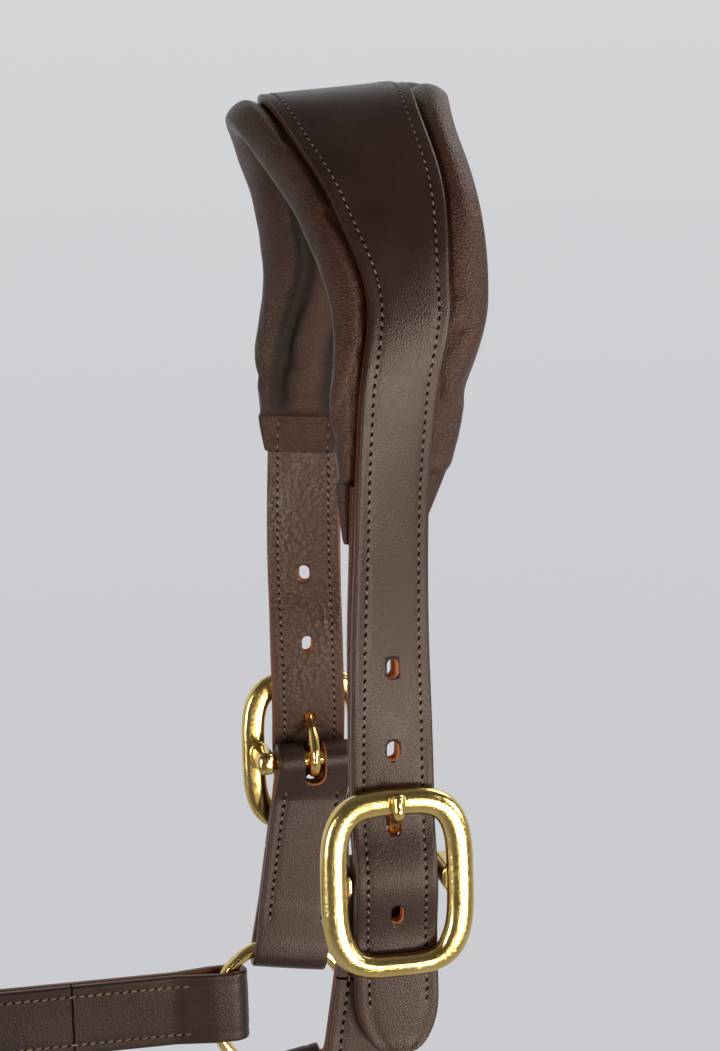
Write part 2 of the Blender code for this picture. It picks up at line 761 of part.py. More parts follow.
def build_chape(label, carrier):
    """Short strap folded round the centre bar and the upper ring, butted behind the billet."""
    half = CHAPE_WIDTH / 2
    middle = BAR_DEPTH - CHAPE_MIDDLE
    length = BAR_TO_RING - RING_RADIUS
    path = folded_path(
        length,
        dict(pin_radius=BAR_DIAMETER / 2, pin_offset=middle),
        ring_fold(half + GAP),
        stations(FOLD_REACH, length - FOLD_REACH)[1:-1],
    )
    mesh = strip(path, half, middle * Y, -Z, -Y)
    forward = -1.0 if carrier.rotation_euler.z < 1.0 else 1.0
    for vertex in mesh.vertices:
        lean_forwards(vertex.co, forward)
    chape = add_piece(f"buckle_chape_{label}", mesh, LEATHER, 0.45, 0.0, carrier, True)
    depth = 4 * (BAR_DIAMETER + FOLD_THICKNESS)
    outline = slot_outline()
    ends = [[(x, y, z) for x, z in outline] for y in (-depth, depth)]
    slot = add_cutter(f"slot_{label}", loft(ends))
    slot.parent = carrier
    cut(chape, slot)


# Rings and the straps between them


def build_ring(name, place, carrier, flat=False):
    """Round wire ring. It stands in the cheek's plane, or lies flat under the chin."""
    bpy.ops.mesh.primitive_torus_add(
        major_radius=RING_RADIUS, minor_radius=WIRE_RADIUS, major_segments=36, minor_segments=8
    )
    maker = bpy.context.object
    mesh = maker.data
    bpy.data.objects.remove(maker)
    turn = Matrix() if flat else Matrix.Rotation(pi / 2, 4, "X")
    mesh.transform(Matrix.Translation(place) @ turn)
    return add_piece(name, mesh, BRASS, 0.22, 1.0, carrier)


def build_cheek_strap(hand, label, carrier):
    half = STRAP_WIDTH / 2
    wrap = ring_fold(half + CHEEK_RISE)
    path = folded_path(CHEEK_LENGTH - 2 * RING_RADIUS, wrap, wrap)
    origin = Vector((RING_X - RING_RADIUS, hand * RING_Y, RING_Z + CHEEK_RISE))
    mesh = strip(path, half, origin, -X, hand * Y)
    add_piece(f"cheek_strap_{label}", mesh, LEATHER, 0.45, 0.0, carrier)


def noseband_width(a, c):
    """Half width of the noseband, which broadens over the nose."""
    start = RING_RADIUS + FOLD_REACH
    broad = smoothstep((a - start) / (NOSE_FORWARD + NOSE_DEPTH / 2 - start))
    return (STRAP_WIDTH + (NOSEBAND_WIDTH - STRAP_WIDTH) * broad) / 2


def nose_arch(depth, reach, count=22):
    """Half oval over the nose, from the left side to the right."""
    angles = [-pi / 2 + pi * i / count for i in range(count + 1)]
    return [(NOSE_FORWARD + depth * cos(t), reach * sin(t)) for t in angles]


def build_noseband(carrier):
    """Outer strap folded back at both rings, with a lining between the two folded ends."""
    half = STRAP_WIDTH / 2
    turn = wrap_points(**ring_fold(half))
    right = [(RING_RADIUS + a, RING_Y + c) for a, c in turn]
    left = [(a, -c) for a, c in reversed(right)]
    tail = RING_RADIUS + NOSE_TAIL
    inner, outer = RING_Y - LAYER_OFFSET, RING_Y + LAYER_OFFSET
    path = [(tail, -inner)] + left + nose_arch(NOSE_DEPTH, outer) + right + [(tail, inner)]
    origin = Vector((NOSE_X, 0.0, RING_Z))
    add_piece("noseband", strip(path, noseband_width, origin, -X, Y), LEATHER, 0.45, 0.0, carrier)
    start = tail + BUTT_GAP
    depth = NOSE_DEPTH - FOLD_THICKNESS - GAP
    path = [(start, -inner)] + nose_arch(depth, inner) + [(start, inner)]
    mesh = strip(path, noseband_width, origin, -X, Y)
    add_piece("noseband_lining", mesh, LINING_LEATHER, 0.6, 0.0, carrier)


def bend(path, straight, radius):
    """Bend a straight strap a quarter turn towards +c, after a straight stretch."""
    quarter = radius * pi / 2
    bent = []
    for a, c in path:
        turn = min(max((a - straight) / radius, 0.0), pi / 2)
        before = min(a, straight)
        after = max(a - straight - quarter, 0.0)
        bent.append((before + (radius - c) * sin(turn), radius - (radius - c) * cos(turn) + after))
    return bent


def build_chin_strap(hand, label, carrier):
    """From the nose ring down and inwards under the jaw to the chin ring."""
    half = STRAP_WIDTH / 2
    straight = CHIN_DROP - RING_RADIUS - CHIN_CORNER
    level = RING_Y - RING_RADIUS - CHIN_CORNER
    quarter = CHIN_CORNER * pi / 2
    bends = [straight + quarter * i / 6 for i in range(7)]
    path = folded_path(straight + quarter + level, ring_fold(half), ring_fold(half), bends)
    origin = Vector((NOSE_X, hand * RING_Y, RING_Z - RING_RADIUS))
    mesh = strip(bend(path, straight, CHIN_CORNER), half, origin, -Z, -hand * Y)
    add_piece(f"chin_strap_{label}", mesh, LEATHER, 0.45, 0.0, carrier)


def build_jaw_strap(carrier):
    """From the throat roll forwards to the back of the chin ring."""
    half = THROAT_END_WIDTH / 2
    play = GAP + fold_sag(half) * sin(JAW_SWING)
    path = folded_path(
        CHEEK_LENGTH, dict(pin_radius=ROLL_DIAMETER / 2), ring_fold(half, play=play)
    )
    origin = Vector((RING_X + RING_RADIUS, 0.0, RING_Z - CHIN_DROP))
    mesh = strip(path, half, origin, -X, Z)
    add_piece("jaw_strap", mesh, LEATHER, 0.45, 0.0, carrier)


# Throat strap: flat folded ends, and leather rolled round a cord between them

THROAT_DOWN = Vector((sin(THROAT_TILT), 0.0, -cos(THROAT_TILT)))
THROAT_WIDE = Vector((cos(THROAT_TILT), 0.0, sin(THROAT_TILT)))
THROAT_TOP = Vector((RING_X, 0.0, RING_Z))


def throat_point(y, drop, wide=0.0):
    return THROAT_TOP + y * Y + drop * THROAT_DOWN + wide * THROAT_WIDE


def roll_line(right_drop, left_drop):
    """Down the right side, across under the jaw and up the left side, as (y, drop)."""
    corner = THROAT_DROP - ROLL_CORNER
    across = RING_Y - ROLL_CORNER
    angles = [pi / 2 * i / 8 for i in range(9)]
    right = [(across + ROLL_CORNER * cos(t), corner + ROLL_CORNER * sin(t)) for t in angles]
    left = [(-y, drop) for y, drop in reversed(right)]
    return [(RING_Y, right_drop)] + right + [(THROAT_END_WIDTH / 2, THROAT_DROP)] + \
        [(-THROAT_END_WIDTH / 2, THROAT_DROP)] + left + [(-RING_Y, left_drop)]


def roll_rings(line, section):
    """Sections square to a line in the throat's plane. A section is (in plane, wide) pairs."""
    rings = []
    for i, (y, drop) in enumerate(line):
        before, after = line[max(i - 1, 0)], line[min(i + 1, len(line) - 1)]
        run = Vector((after[0] - before[0], after[1] - before[1])).normalized()
        rings.append([
            throat_point(y + u * run.y, drop - u * run.x, w) for u, w in section
        ])
    return rings


def seamed_tube_section(outer, inner, seam=0.0004, count=12):
    """A tube slit along its inner face, where the rolled leather's two edges are sewn together."""
    open_angle = seam / outer
    around = [pi + open_angle + (2 * pi - 2 * open_angle) * i / count for i in range(count + 1)]
    skin = [(outer * cos(t), outer * sin(t)) for t in around]
    bore = [(inner * cos(t), inner * sin(t)) for t in reversed(around)]
    return skin + bore


def round_section(radius, count=10):
    return [(radius * cos(2 * pi * i / count), radius * sin(2 * pi * i / count)) for i in range(count)]


def throat_taper(y, drop, count=12):
    """From the two stitched flat layers to the round roll."""
    flat_in, flat_wide = LAYER_OFFSET + FOLD_THICKNESS / 2, THROAT_END_WIDTH / 2
    rings = []
    for i in range(4):
        t = i / 3
        blend = smoothstep(t)
        power = 2 + 4 * (1 - blend)
        in_plane = flat_in + (ROLL_DIAMETER / 2 - flat_in) * blend
        wide = flat_wide + (ROLL_DIAMETER / 2 - flat_wide) * blend
        ring = []
        for k in range(count):
            point = oval_point(2 * pi * (k + 0.5) / count, in_plane, wide, power)
            ring.append(throat_point(y + point.x, drop + ROLL_TAPER * t, point.z))
        rings.append(ring)
    return loft(rings)


def throat_end(y, pin_drop, wrap, tail):
    path = [(tail, LAYER_OFFSET)] + wrap_points(**wrap) + [(tail, -LAYER_OFFSET)]
    return strip(path, THROAT_END_WIDTH / 2, throat_point(y, pin_drop), THROAT_DOWN, Y)


def build_throat(carrier):
    half = THROAT_END_WIDTH / 2
    right_tail = FOLD_REACH + ROLL_TAPER / 2
    left_wrap = dict(pin_radius=EYE_WIRE / 2, reach=EYE_REACH)
    left_tail = EYE_REACH + GAP
    right_taper = RING_RADIUS + right_tail - FOLD_THICKNESS
    left_taper = EYE_AT + left_tail - FOLD_THICKNESS / 2
    overlap = ROLL_TAPER / 8
    line = roll_line(right_taper + ROLL_TAPER - overlap, left_taper + ROLL_TAPER - overlap)
    bore = ROLL_CORE_DIAMETER / 2 + GAP
    section = seamed_tube_section(ROLL_DIAMETER / 2, bore)
    throat = add_piece("throat_strap", loft(roll_rings(line, section)), LEATHER, 0.45, 0.0, carrier)
    joined = (
        throat_taper(RING_Y, right_taper),
        throat_taper(-RING_Y, left_taper),
        throat_end(RING_Y, RING_RADIUS, ring_fold(half), right_tail),
        throat_end(-RING_Y, EYE_AT, left_wrap, left_tail),
    )
    for mesh in joined:
        mesh.transform(carrier.matrix_world.inverted())
        cut(throat, add_joined_shape(mesh, carrier), "UNION")
    core_line = roll_line(right_taper + ROLL_TAPER + GAP, left_taper + ROLL_TAPER + GAP)
    core = loft(roll_rings(core_line, round_section(ROLL_CORE_DIAMETER / 2, 6)))
    add_piece("throat_core", core, CORD, 0.9, 0.0, carrier)


# Snap hook, in its own plane: p is sideways along Y, q is up the throat's line from the ring's wire

def snap_point(p, q, wide=0.0):
    return throat_point(-RING_Y + p, RING_RADIUS - q, wide)


def snap_shift(mesh, carrier):
    mesh.transform(carrier.matrix_world.inverted())
    return mesh


def snap_matrix(p, q):
    """Places a shape whose Z runs up the snap and whose X lies across its plane."""
    turn = Matrix((THROAT_WIDE, Y, -THROAT_DOWN)).transposed().to_4x4()
    return Matrix.Translation(snap_point(p, q)) @ turn


def snap_box(p_range, q_range, wide):
    (p0, p1), (q0, q1) = p_range, q_range
    mesh = box_mesh((wide, p1 - p0, q1 - q0), Vector())
    mesh.transform(snap_matrix((p0 + p1) / 2, (q0 + q1) / 2))
    return mesh


HOOK_RADIUS = (HOOK_MOUTH + HOOK_WIRE) / 2
CROOK_Q = WIRE_RADIUS + GAP - HOOK_MOUTH / 2
BASE_TOP = CROOK_Q - HOOK_HEIGHT
PIVOT_Q = BASE_TOP - GATE_DIAMETER
BASE_BOTTOM = BASE_TOP - BASE_HEIGHT
HEAD_Q = BASE_BOTTOM + SWIVEL_FLOOR + GAP
EYE_TOP_Q = BASE_BOTTOM - EYE_WIRE
EYE_BAR_Q = EYE_TOP_Q - EYE_DROP - EYE_WIRE
EYE_AT = RING_RADIUS - EYE_BAR_Q
KNUCKLE_RADIUS = GATE_PIN / 2 + GATE_DIAMETER / 2
NOSE_END_Q = CROOK_Q - HOOK_WIRE


def hook_line():
    """Up the shank, over the ring's wire and down to the nose that the gate meets."""
    angles = [pi * i / 10 for i in range(11)]
    crook = [(HOOK_RADIUS * cos(t), CROOK_Q + HOOK_RADIUS * sin(t)) for t in angles]
    return [(HOOK_RADIUS, BASE_TOP - HOOK_WIRE / 2)] + crook + [(-HOOK_RADIUS, NOSE_END_Q)]


def snap_tube(line, radius, sides=10):
    rings = []
    for i, (p, q) in enumerate(line):
        before, after = line[max(i - 1, 0)], line[min(i + 1, len(line) - 1)]
        run = Vector((after[0] - before[0], after[1] - before[1])).normalized()
        rings.append([
            snap_point(p + radius * cos(t) * run.y, q - radius * cos(t) * run.x, radius * sin(t))
            for t in (2 * pi * k / sides for k in range(sides))
        ])
    return loft(rings)


def build_snap_body(carrier):
    """Cast hook on a base that is slotted for the gate and bored for the swivel."""
    top_half = HOOK_RADIUS + HOOK_WIRE / 2
    rings = []
    for t in (0.0, 0.25, 0.5, 0.75, 1.0):
        q = BASE_TOP - BASE_HEIGHT * t
        half = top_half + (SWIVEL_HEAD / 2 + 0.0030 - top_half) * t * t
        ring = []
        for k in range(16):
            point = oval_point(2 * pi * (k + 0.5) / 16, SNAP_BASE_DEPTH / 2, half, 4)
            ring.append(snap_point(point.z, q, point.x))
        rings.append(ring)
    body = add_piece("snap_body", loft(rings), BRASS, 0.25, 1.0, carrier)
    hook = snap_shift(snap_tube(hook_line(), HOOK_WIRE / 2), carrier)
    cut(body, add_joined_shape(hook, carrier), "UNION")
    slot_inner = -HOOK_RADIUS + GATE_SLOT_DEPTH
    slot = snap_box(
        (-2 * top_half, slot_inner), (PIVOT_Q - KNUCKLE_RADIUS - GAP, BASE_TOP + GATE_PIN), GATE_SLOT
    )
    window = snap_box(
        (-SWIVEL_HEAD / 2 - 2 * GAP, SWIVEL_HEAD / 2 + 2 * GAP),
        (HEAD_Q - GAP, HEAD_Q + SWIVEL_HEAD_HEIGHT + GAP), 2 * SNAP_BASE_DEPTH
    )
    bore = cylinder_mesh(SWIVEL_SHANK / 2 + GAP, 4 * SWIVEL_FLOOR, 16, snap_matrix(0.0, BASE_BOTTOM))
    across = Matrix.Rotation(pi / 2, 4, "Y")
    pin_hole = cylinder_mesh(
        GATE_PIN / 2 + GAP, 2 * SNAP_BASE_DEPTH, 12, snap_matrix(-HOOK_RADIUS, PIVOT_Q) @ across
    )
    cuts = (
        ("gate_slot", slot), ("swivel_window", window), ("swivel_bore", bore), ("gate_pin_hole", pin_hole)
    )
    for name, mesh in cuts:
        cutter = add_cutter(name, snap_shift(mesh, carrier))
        cutter.parent = carrier
        cut(body, cutter)


def build_snap_gate(carrier):
    """Round gate bar on a knuckle, which closes against the hook's nose."""
    across = Matrix.Rotation(pi / 2, 4, "Y")
    place = snap_matrix(-HOOK_RADIUS, PIVOT_Q) @ across
    knuckle = cylinder_mesh(KNUCKLE_RADIUS, GATE_SLOT - 2 * GAP, 16, place)
    gate = add_piece("snap_gate", knuckle, BRASS, 0.25, 1.0, carrier)
    line = [(-HOOK_RADIUS, PIVOT_Q + GATE_PIN / 2 + GAP), (-HOOK_RADIUS, NOSE_END_Q - GAP)]
    bar = snap_shift(snap_tube(line, GATE_DIAMETER / 2), carrier)
    cut(gate, add_joined_shape(bar, carrier), "UNION")
    bore = cylinder_mesh(GATE_PIN / 2 + GAP, GATE_SLOT, 12, place)
    hole = add_cutter("gate_bore", snap_shift(bore, carrier))
    hole.parent = carrier
    cut(gate, hole)


def build_snap_small_parts(carrier):
    """The gate's pin, and the leaf spring that pushes the gate shut."""
    across = Matrix.Rotation(pi / 2, 4, "Y")
    pin = cylinder_mesh(
        GATE_PIN / 2, SNAP_BASE_DEPTH - 4 * GAP, 12, snap_matrix(-HOOK_RADIUS, PIVOT_Q) @ across
    )
    add_piece("snap_gate_pin", pin, STEEL, 0.3, 1.0, carrier)
    wall = -HOOK_RADIUS + GATE_SLOT_DEPTH - GAP
    spring = snap_box(
        (wall - SPRING_THICKNESS, wall), (PIVOT_Q - KNUCKLE_RADIUS, BASE_TOP - GAP), GATE_SLOT - 4 * GAP
    )
    add_piece("snap_spring", spring, STEEL, 0.3, 1.0, carrier)


def build_snap_eye(carrier):
    """Square eye for the strap, on a shank whose riveted head turns in the base."""
    half_wide = (EYE_INSIDE + EYE_WIRE) / 2
    half_q = (EYE_TOP_Q - EYE_BAR_Q) / 2
    middle = (EYE_TOP_Q + EYE_BAR_Q) / 2
    line = [oval_point(2 * pi * i / 36, half_wide, half_q, 9) for i in range(36)]
    line = [point for i, point in enumerate(line) if (point - line[i - 1]).length > 0.0004]
    rings = []
    for i, point in enumerate(line):
        run = (line[(i + 1) % len(line)] - line[i - 1]).normalized()
        ring = []
        for k in range(8):
            out = EYE_WIRE / 2 * cos(pi * k / 4)
            ring.append(snap_point(
                EYE_WIRE / 2 * sin(pi * k / 4), middle + point.z - out * run.x, point.x + out * run.z
            ))
        rings.append(ring)
    eye = add_piece("snap_eye", loft(rings, closed=True), BRASS, 0.25, 1.0, carrier)
    shank_top = HEAD_Q + SWIVEL_HEAD_HEIGHT / 2
    shank = cylinder_mesh(
        SWIVEL_SHANK / 2, shank_top - EYE_TOP_Q, 12, snap_matrix(0.0, (shank_top + EYE_TOP_Q) / 2)
    )
    head = cylinder_mesh(
        SWIVEL_HEAD / 2, SWIVEL_HEAD_HEIGHT, 16, snap_matrix(0.0, HEAD_Q + SWIVEL_HEAD_HEIGHT / 2)
    )
    for mesh in (shank, head):
        cut(eye, add_joined_shape(snap_shift(mesh, carrier), carrier), "UNION")


# Put the halter together, from the crown down

def build_halter():
    crown = build_crown_strap()
    throat_joint = make_joint("lower_swing", THROAT_TOP)
    cheek_joint = make_joint("cheek_fold", THROAT_TOP, throat_joint)
    chin_joint = make_joint("chin_swing", Vector((NOSE_X, 0.0, RING_Z)), cheek_joint)
    nose_joint = make_joint("noseband_tilt", Vector((NOSE_X, 0.0, RING_Z)), cheek_joint)
    jaw_joint = make_joint("jaw_swing", throat_point(0.0, THROAT_DROP), throat_joint)
    for hand, label in ((-1, "left"), (1, "right")):
        lining = build_crown_lining(hand, label)
        punch_billet((crown, lining), hand, label)
        turn = 0.0 if hand > 0 else pi
        place = Vector((LEG_SHIFT, hand * (LEG_REACH - BAR_DEPTH), BAR_HEIGHT))
        buckle = make_joint(f"tongue_lift_{label}", place, turn=turn)
        build_buckle_frame(label, buckle)
        build_tongue(label, buckle)
        build_chape(label, buckle)
        ring_place = Vector((RING_X, hand * RING_Y, RING_Z))
        ring_joint = make_joint(f"upper_ring_spin_{label}", ring_place)
        build_ring(f"upper_ring_{label}", ring_place, ring_joint)
        build_cheek_strap(hand, label, cheek_joint)
        nose_place = Vector((NOSE_X, hand * RING_Y, RING_Z))
        nose_ring_joint = make_joint(f"nose_ring_spin_{label}", nose_place, cheek_joint)
        build_ring(f"nose_ring_{label}", nose_place, nose_ring_joint)
        build_chin_strap(hand, label, chin_joint)
    build_crown_pad()
    build_noseband(nose_joint)
    chin_place = Vector((NOSE_X, 0.0, RING_Z - CHIN_DROP))
    chin_ring_joint = make_joint("chin_ring_spin", chin_place, chin_joint)
    build_ring("chin_ring", chin_place, chin_ring_joint, flat=True)
    build_jaw_strap(jaw_joint)
    build_throat(throat_joint)
    swivel = make_joint("snap_swivel", snap_point(0.0, 0.0), throat_joint, -THROAT_TILT)
    build_snap_body(swivel)
    gate_joint = make_joint("gate_open", snap_point(-HOOK_RADIUS, PIVOT_Q), swivel, -THROAT_TILT)
    build_snap_gate(gate_joint)
    build_snap_small_parts(swivel)
    build_snap_eye(throat_joint)


build_halter()
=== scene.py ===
"""Looks of a leather halter with a padded crown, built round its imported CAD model.

Metres, +Z up, -X towards the horse's nose, -Y the horse's left side. The origin is the middle
of the crown pad's underside.
"""
from math import acos, atan2, cos, exp, hypot, pi, radians, sin, sqrt, tan

import bmesh
import bpy
import numpy as np
from mathutils import Matrix, Vector


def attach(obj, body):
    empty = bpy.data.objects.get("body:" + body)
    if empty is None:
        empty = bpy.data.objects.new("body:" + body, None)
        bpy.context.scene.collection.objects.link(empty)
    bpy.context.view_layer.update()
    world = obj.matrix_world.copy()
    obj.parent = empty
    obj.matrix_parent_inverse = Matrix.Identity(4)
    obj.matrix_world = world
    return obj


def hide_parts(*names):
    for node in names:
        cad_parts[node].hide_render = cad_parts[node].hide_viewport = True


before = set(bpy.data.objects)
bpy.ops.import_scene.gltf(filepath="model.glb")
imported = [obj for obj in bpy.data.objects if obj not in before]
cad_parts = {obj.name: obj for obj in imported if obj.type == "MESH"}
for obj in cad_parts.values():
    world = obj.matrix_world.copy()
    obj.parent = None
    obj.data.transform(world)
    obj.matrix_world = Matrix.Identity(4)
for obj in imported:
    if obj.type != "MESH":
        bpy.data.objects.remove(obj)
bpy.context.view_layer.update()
bpy.context.scene.view_settings.view_transform = "Standard"

# ---- Camera, studio and lamps
# The halter hangs from its crown in a pale studio. The camera stands at the horse's left,
# a little ahead of the crown and above it, as in the photograph.

CAMERA_PLACE = Vector((-0.1498, -0.8074, 0.0347))
CAMERA_RIGHT = Vector((0.9797, -0.1987, -0.0270))
CAMERA_BACK = Vector((-0.1900, -0.9630, 0.1911))
CAMERA_FOCUS_PIXELS = 2600
PHOTO_HEIGHT = 1051
SENSOR = 36.0


def put(name, data):
    """A new object in the scene."""
    thing = bpy.data.objects.new(name, data)
    bpy.context.scene.collection.objects.link(thing)
    return thing


def set_camera():
    back = CAMERA_BACK.normalized()
    right = (CAMERA_RIGHT - CAMERA_RIGHT.dot(back) * back).normalized()
    data = bpy.data.cameras.new("camera")
    data.sensor_width = SENSOR
    data.lens = CAMERA_FOCUS_PIXELS / PHOTO_HEIGHT * SENSOR
    data.clip_start, data.clip_end = 0.05, 50.0
    camera = put("camera", data)
    turn = Matrix((right, back.cross(right), back)).transposed().to_4x4()
    camera.matrix_world = Matrix.Translation(CAMERA_PLACE) @ turn
    bpy.context.scene.camera = camera


def arithmetic(operation, turned=False):
    """An operator that adds a Math node, or its reflected form."""
    def operator(self, other):
        one, two = (other, self) if turned else (self, other)
        return self.make("Math", {"operation": operation}, {0: one, 1: two})
    return operator


class Shade:
    """A value inside a node tree. Sums of such values add Math nodes."""

    def __init__(self, tree, socket=None):
        self.tree, self.socket = tree, socket

    def make(self, kind, settings=None, sockets=None, out=0):
        """An output of a new node, whose settings are made before its sockets are filled."""
        node = self.tree.nodes.new(kind if "Node" in kind else "ShaderNode" + kind)
        for name, value in (settings or {}).items():
            setattr(node, name, value)
        for name, value in (sockets or {}).items():
            if isinstance(value, Shade):
                self.tree.links.new(value.socket, node.inputs[name])
            else:
                node.inputs[name].default_value = value
        return Shade(self.tree, node.outputs[out])

    __add__, __radd__ = arithmetic("ADD"), arithmetic("ADD", True)
    __sub__, __rsub__ = arithmetic("SUBTRACT"), arithmetic("SUBTRACT", True)
    __mul__, __rmul__ = arithmetic("MULTIPLY"), arithmetic("MULTIPLY", True)
    maximum = arithmetic("MAXIMUM")

    def step(self, low, high):
        """0 below low and 1 above high, smooth between them."""
        return self.make("MapRange", {"interpolation_type": "SMOOTHSTEP"}, {0: self, 1: low, 2: high, 3: 0.0, 4: 1.0})

    def mix(self, one, other):
        """One colour where this value is 0 and the other where it is 1."""
        return self.make("Mix", {"data_type": "RGBA"}, {0: self, 6: one, 7: other}, 2)

    def noise(self, place, scale, detail=2.0, roughness=0.5, distortion=0.0):
        return self.make("TexNoise", None, {"Vector": place, "Scale": scale, "Detail": detail,
                                            "Roughness": roughness, "Distortion": distortion})

    def cells(self, place, scale):
        return self.make("TexVoronoi", None, {"Vector": place, "Scale": scale})

    def stretched(self, place, along, across, third=1.0):
        return self.make("VectorMath", {"operation": "MULTIPLY"}, {0: place, 1: (along, across, third)})

    def bump(self, height, distance, strength=1.0, under=None):
        sockets = {"Height": height, "Distance": distance, "Strength": strength}
        return self.make("Bump", None, {**sockets, "Normal": under} if under else sockets)


def rgb(red, green, blue):
    """A colour given as the eye reads it on a screen, as linear light."""
    return tuple(((v / 255 + 0.055) / 1.055) ** 2.4 if v > 10 else v / 3295 for v in (red, green, blue)) + (1.0,)


def new_material(name):
    """A material, its shader, its node tree and the Object coordinates."""
    material = bpy.data.materials.new(name)
    material.use_nodes = True
    shade = Shade(material.node_tree)
    return material, material.node_tree.nodes["Principled BSDF"], shade, shade.make("TexCoord", None, None, 3)


def wire(shader, **sockets):
    """Give the shader's sockets their values or links."""
    for name, value in sockets.items():
        socket = shader.inputs[name.replace("_", " ")]
        if isinstance(value, Shade):
            value.tree.links.new(value.socket, socket)
        else:
            socket.default_value = value


def arc(start, sweep, count):
    """The angles from start through sweep, in count equal steps."""
    return [start + sweep * i / count for i in range(count + 1)]


STUDIO_RADIUS = 4.2
STUDIO_CURVE = 1.4
STUDIO_HEIGHT = 4.5
FLOOR_LEVEL = -0.90
BACKDROP_LOW, BACKDROP_HIGH = rgb(200, 201, 205), rgb(215, 217, 219)
FAR_ROOM = rgb(86, 86, 88)


def build_studio():
    """Round floor that sweeps up into a wall, open to the sky."""
    inner = STUDIO_RADIUS - STUDIO_CURVE
    line = [(0.0, FLOOR_LEVEL)]
    line += [(inner + STUDIO_CURVE * sin(t), FLOOR_LEVEL + STUDIO_CURVE * (1 - cos(t))) for t in arc(0.0, pi / 2, 16)]
    line.append((STUDIO_RADIUS, STUDIO_HEIGHT))
    bm = bmesh.new()
    line = [bm.verts.new((radius, 0.0, height)) for radius, height in line]
    edges = [bm.edges.new(pair) for pair in zip(line, line[1:])]
    bmesh.ops.spin(bm, geom=line + edges, axis=(0, 0, 1), cent=(0, 0, 0), steps=96, angle=2 * pi)
    bmesh.ops.remove_doubles(bm, verts=bm.verts, dist=0.0001)
    bmesh.ops.recalc_face_normals(bm, faces=bm.faces)
    mesh = bpy.data.meshes.new("studio")
    bm.to_mesh(mesh)
    bm.free()
    mesh.shade_smooth()
    material, shader, shade, place = new_material("studio paper")
    # The wall behind the halter is pale paper, its glow painted lighter towards the top as painted light; behind the
    # camera the room is dim
    y, z = (shade.make("SeparateXYZ", None, {0: place}, k) for k in (1, 2))
    backdrop = z.step(-1.6, 0.9).mix(BACKDROP_LOW, BACKDROP_HIGH)
    wire(shader, Base_Color=backdrop, Roughness=0.9, Specular_IOR_Level=0.1)
    room = y.step(-2.4, 0.9).mix(FAR_ROOM, backdrop)
    camera_ray, glossy_ray = (shade.make("LightPath", None, None, k) for k in (0, 3))
    glow = shade.make("Emission", None, {"Color": camera_ray.mix(room, backdrop), "Strength": 1.0})
    paper = Shade(material.node_tree, shader.outputs[0])
    away = shade.make("VectorMath", {"operation": "LENGTH"}, {0: place}, 1)
    share = camera_ray.maximum(glossy_ray) * (away.step(0.95, 1.6) * 0.22 + 0.78)
    whole = shade.make("MixShader", None, {0: share, 1: paper, 2: glow})
    material.node_tree.links.new(whole.socket, material.node_tree.nodes["Material Output"].inputs[0])
    mesh.materials.append(material)
    put("studio", mesh)


def add_lamp(name, place, aim, size, power, warmth=(1.0, 1.0, 1.0)):
    data = bpy.data.lights.new(name, "AREA")
    data.shape = "RECTANGLE"
    data.size, data.size_y = size
    data.energy, data.color = power, warmth
    lamp = put(name, data)
    lamp.location = place
    lamp.rotation_euler = (Vector(aim) - Vector(place)).to_track_quat("-Z", "Y").to_euler()


set_camera()
build_studio()
WARM = (1.0, 0.95, 0.90)
add_lamp("left softbox", (-1.22, -1.36, -0.30), (0.0, 0.0, -0.15), (0.55, 0.65), 15.0, WARM)
add_lamp("right softbox", (1.34, -1.29, 0.06), (0.0, -0.05, -0.1), (0.6, 0.6), 16.0, WARM)
add_lamp("low softbox", (0.62, -1.51, -0.63), (0.0, -0.05, -0.25), (0.6, 0.36), 12.0, WARM)
add_lamp("top softbox", (1.3, 0.3, 1.3), (0.0, 0.0, -0.1), (1.2, 1.0), 18.0)
world = bpy.data.worlds.new("sky")
bpy.context.scene.world = world
world.use_nodes = True
sky = world.node_tree.nodes["Background"].inputs
sky["Color"].default_value, sky["Strength"].default_value = rgb(226, 228, 232), 0.2

# ---- Crown strap
# One length of bridle leather, cut wide over the poll and an inch wide down both legs, waxed
# on its hair side. Its edges are left russet. It is punched with oval holes an inch apart.

GAP = 0.0003
STRAP_WIDTH = 0.0254
STRAP_THICKNESS = 0.0030
LINING_THICKNESS = 0.0020
FOLD_THICKNESS = 0.0028
TONGUE_HOLE_AT = 0.250
HOLE_PITCH = 0.0254
BAR_AT = 0.2650
TIP_AT = 0.3200
TIP_LENGTH = 0.018
TIP_WIDTH = 0.007
# Arc length from the poll, and the slope there in degrees
CROWN_SLOPE = ((0.000, 0.0), (0.025, 30.5), (0.050, 49.5), (0.075, 67.0), (0.100, 76.5), (0.130, 85.0),
               (0.170, 89.0), (0.215, 90.0), (0.330, 90.0))
# Arc length, shift to the rear, twist in degrees and half the strap's width
CROWN_SHAPE = (
    (0.000, 0.0038, 3.0, 0.0222),
    (0.030, 0.0061, 13.0, 0.0196),
    (0.060, 0.0113, 11.0, 0.0166),
    (0.090, 0.0135, -6.0, 0.0127),
    (0.120, 0.0079, -17.0, 0.0127),
    (0.155, 0.0044, -22.0, 0.0127),
    (0.200, 0.0030, -13.0, 0.0127),
    (0.240, 0.0030, 0.0, 0.0127),
    (0.330, 0.0030, 0.0, 0.0127),
)
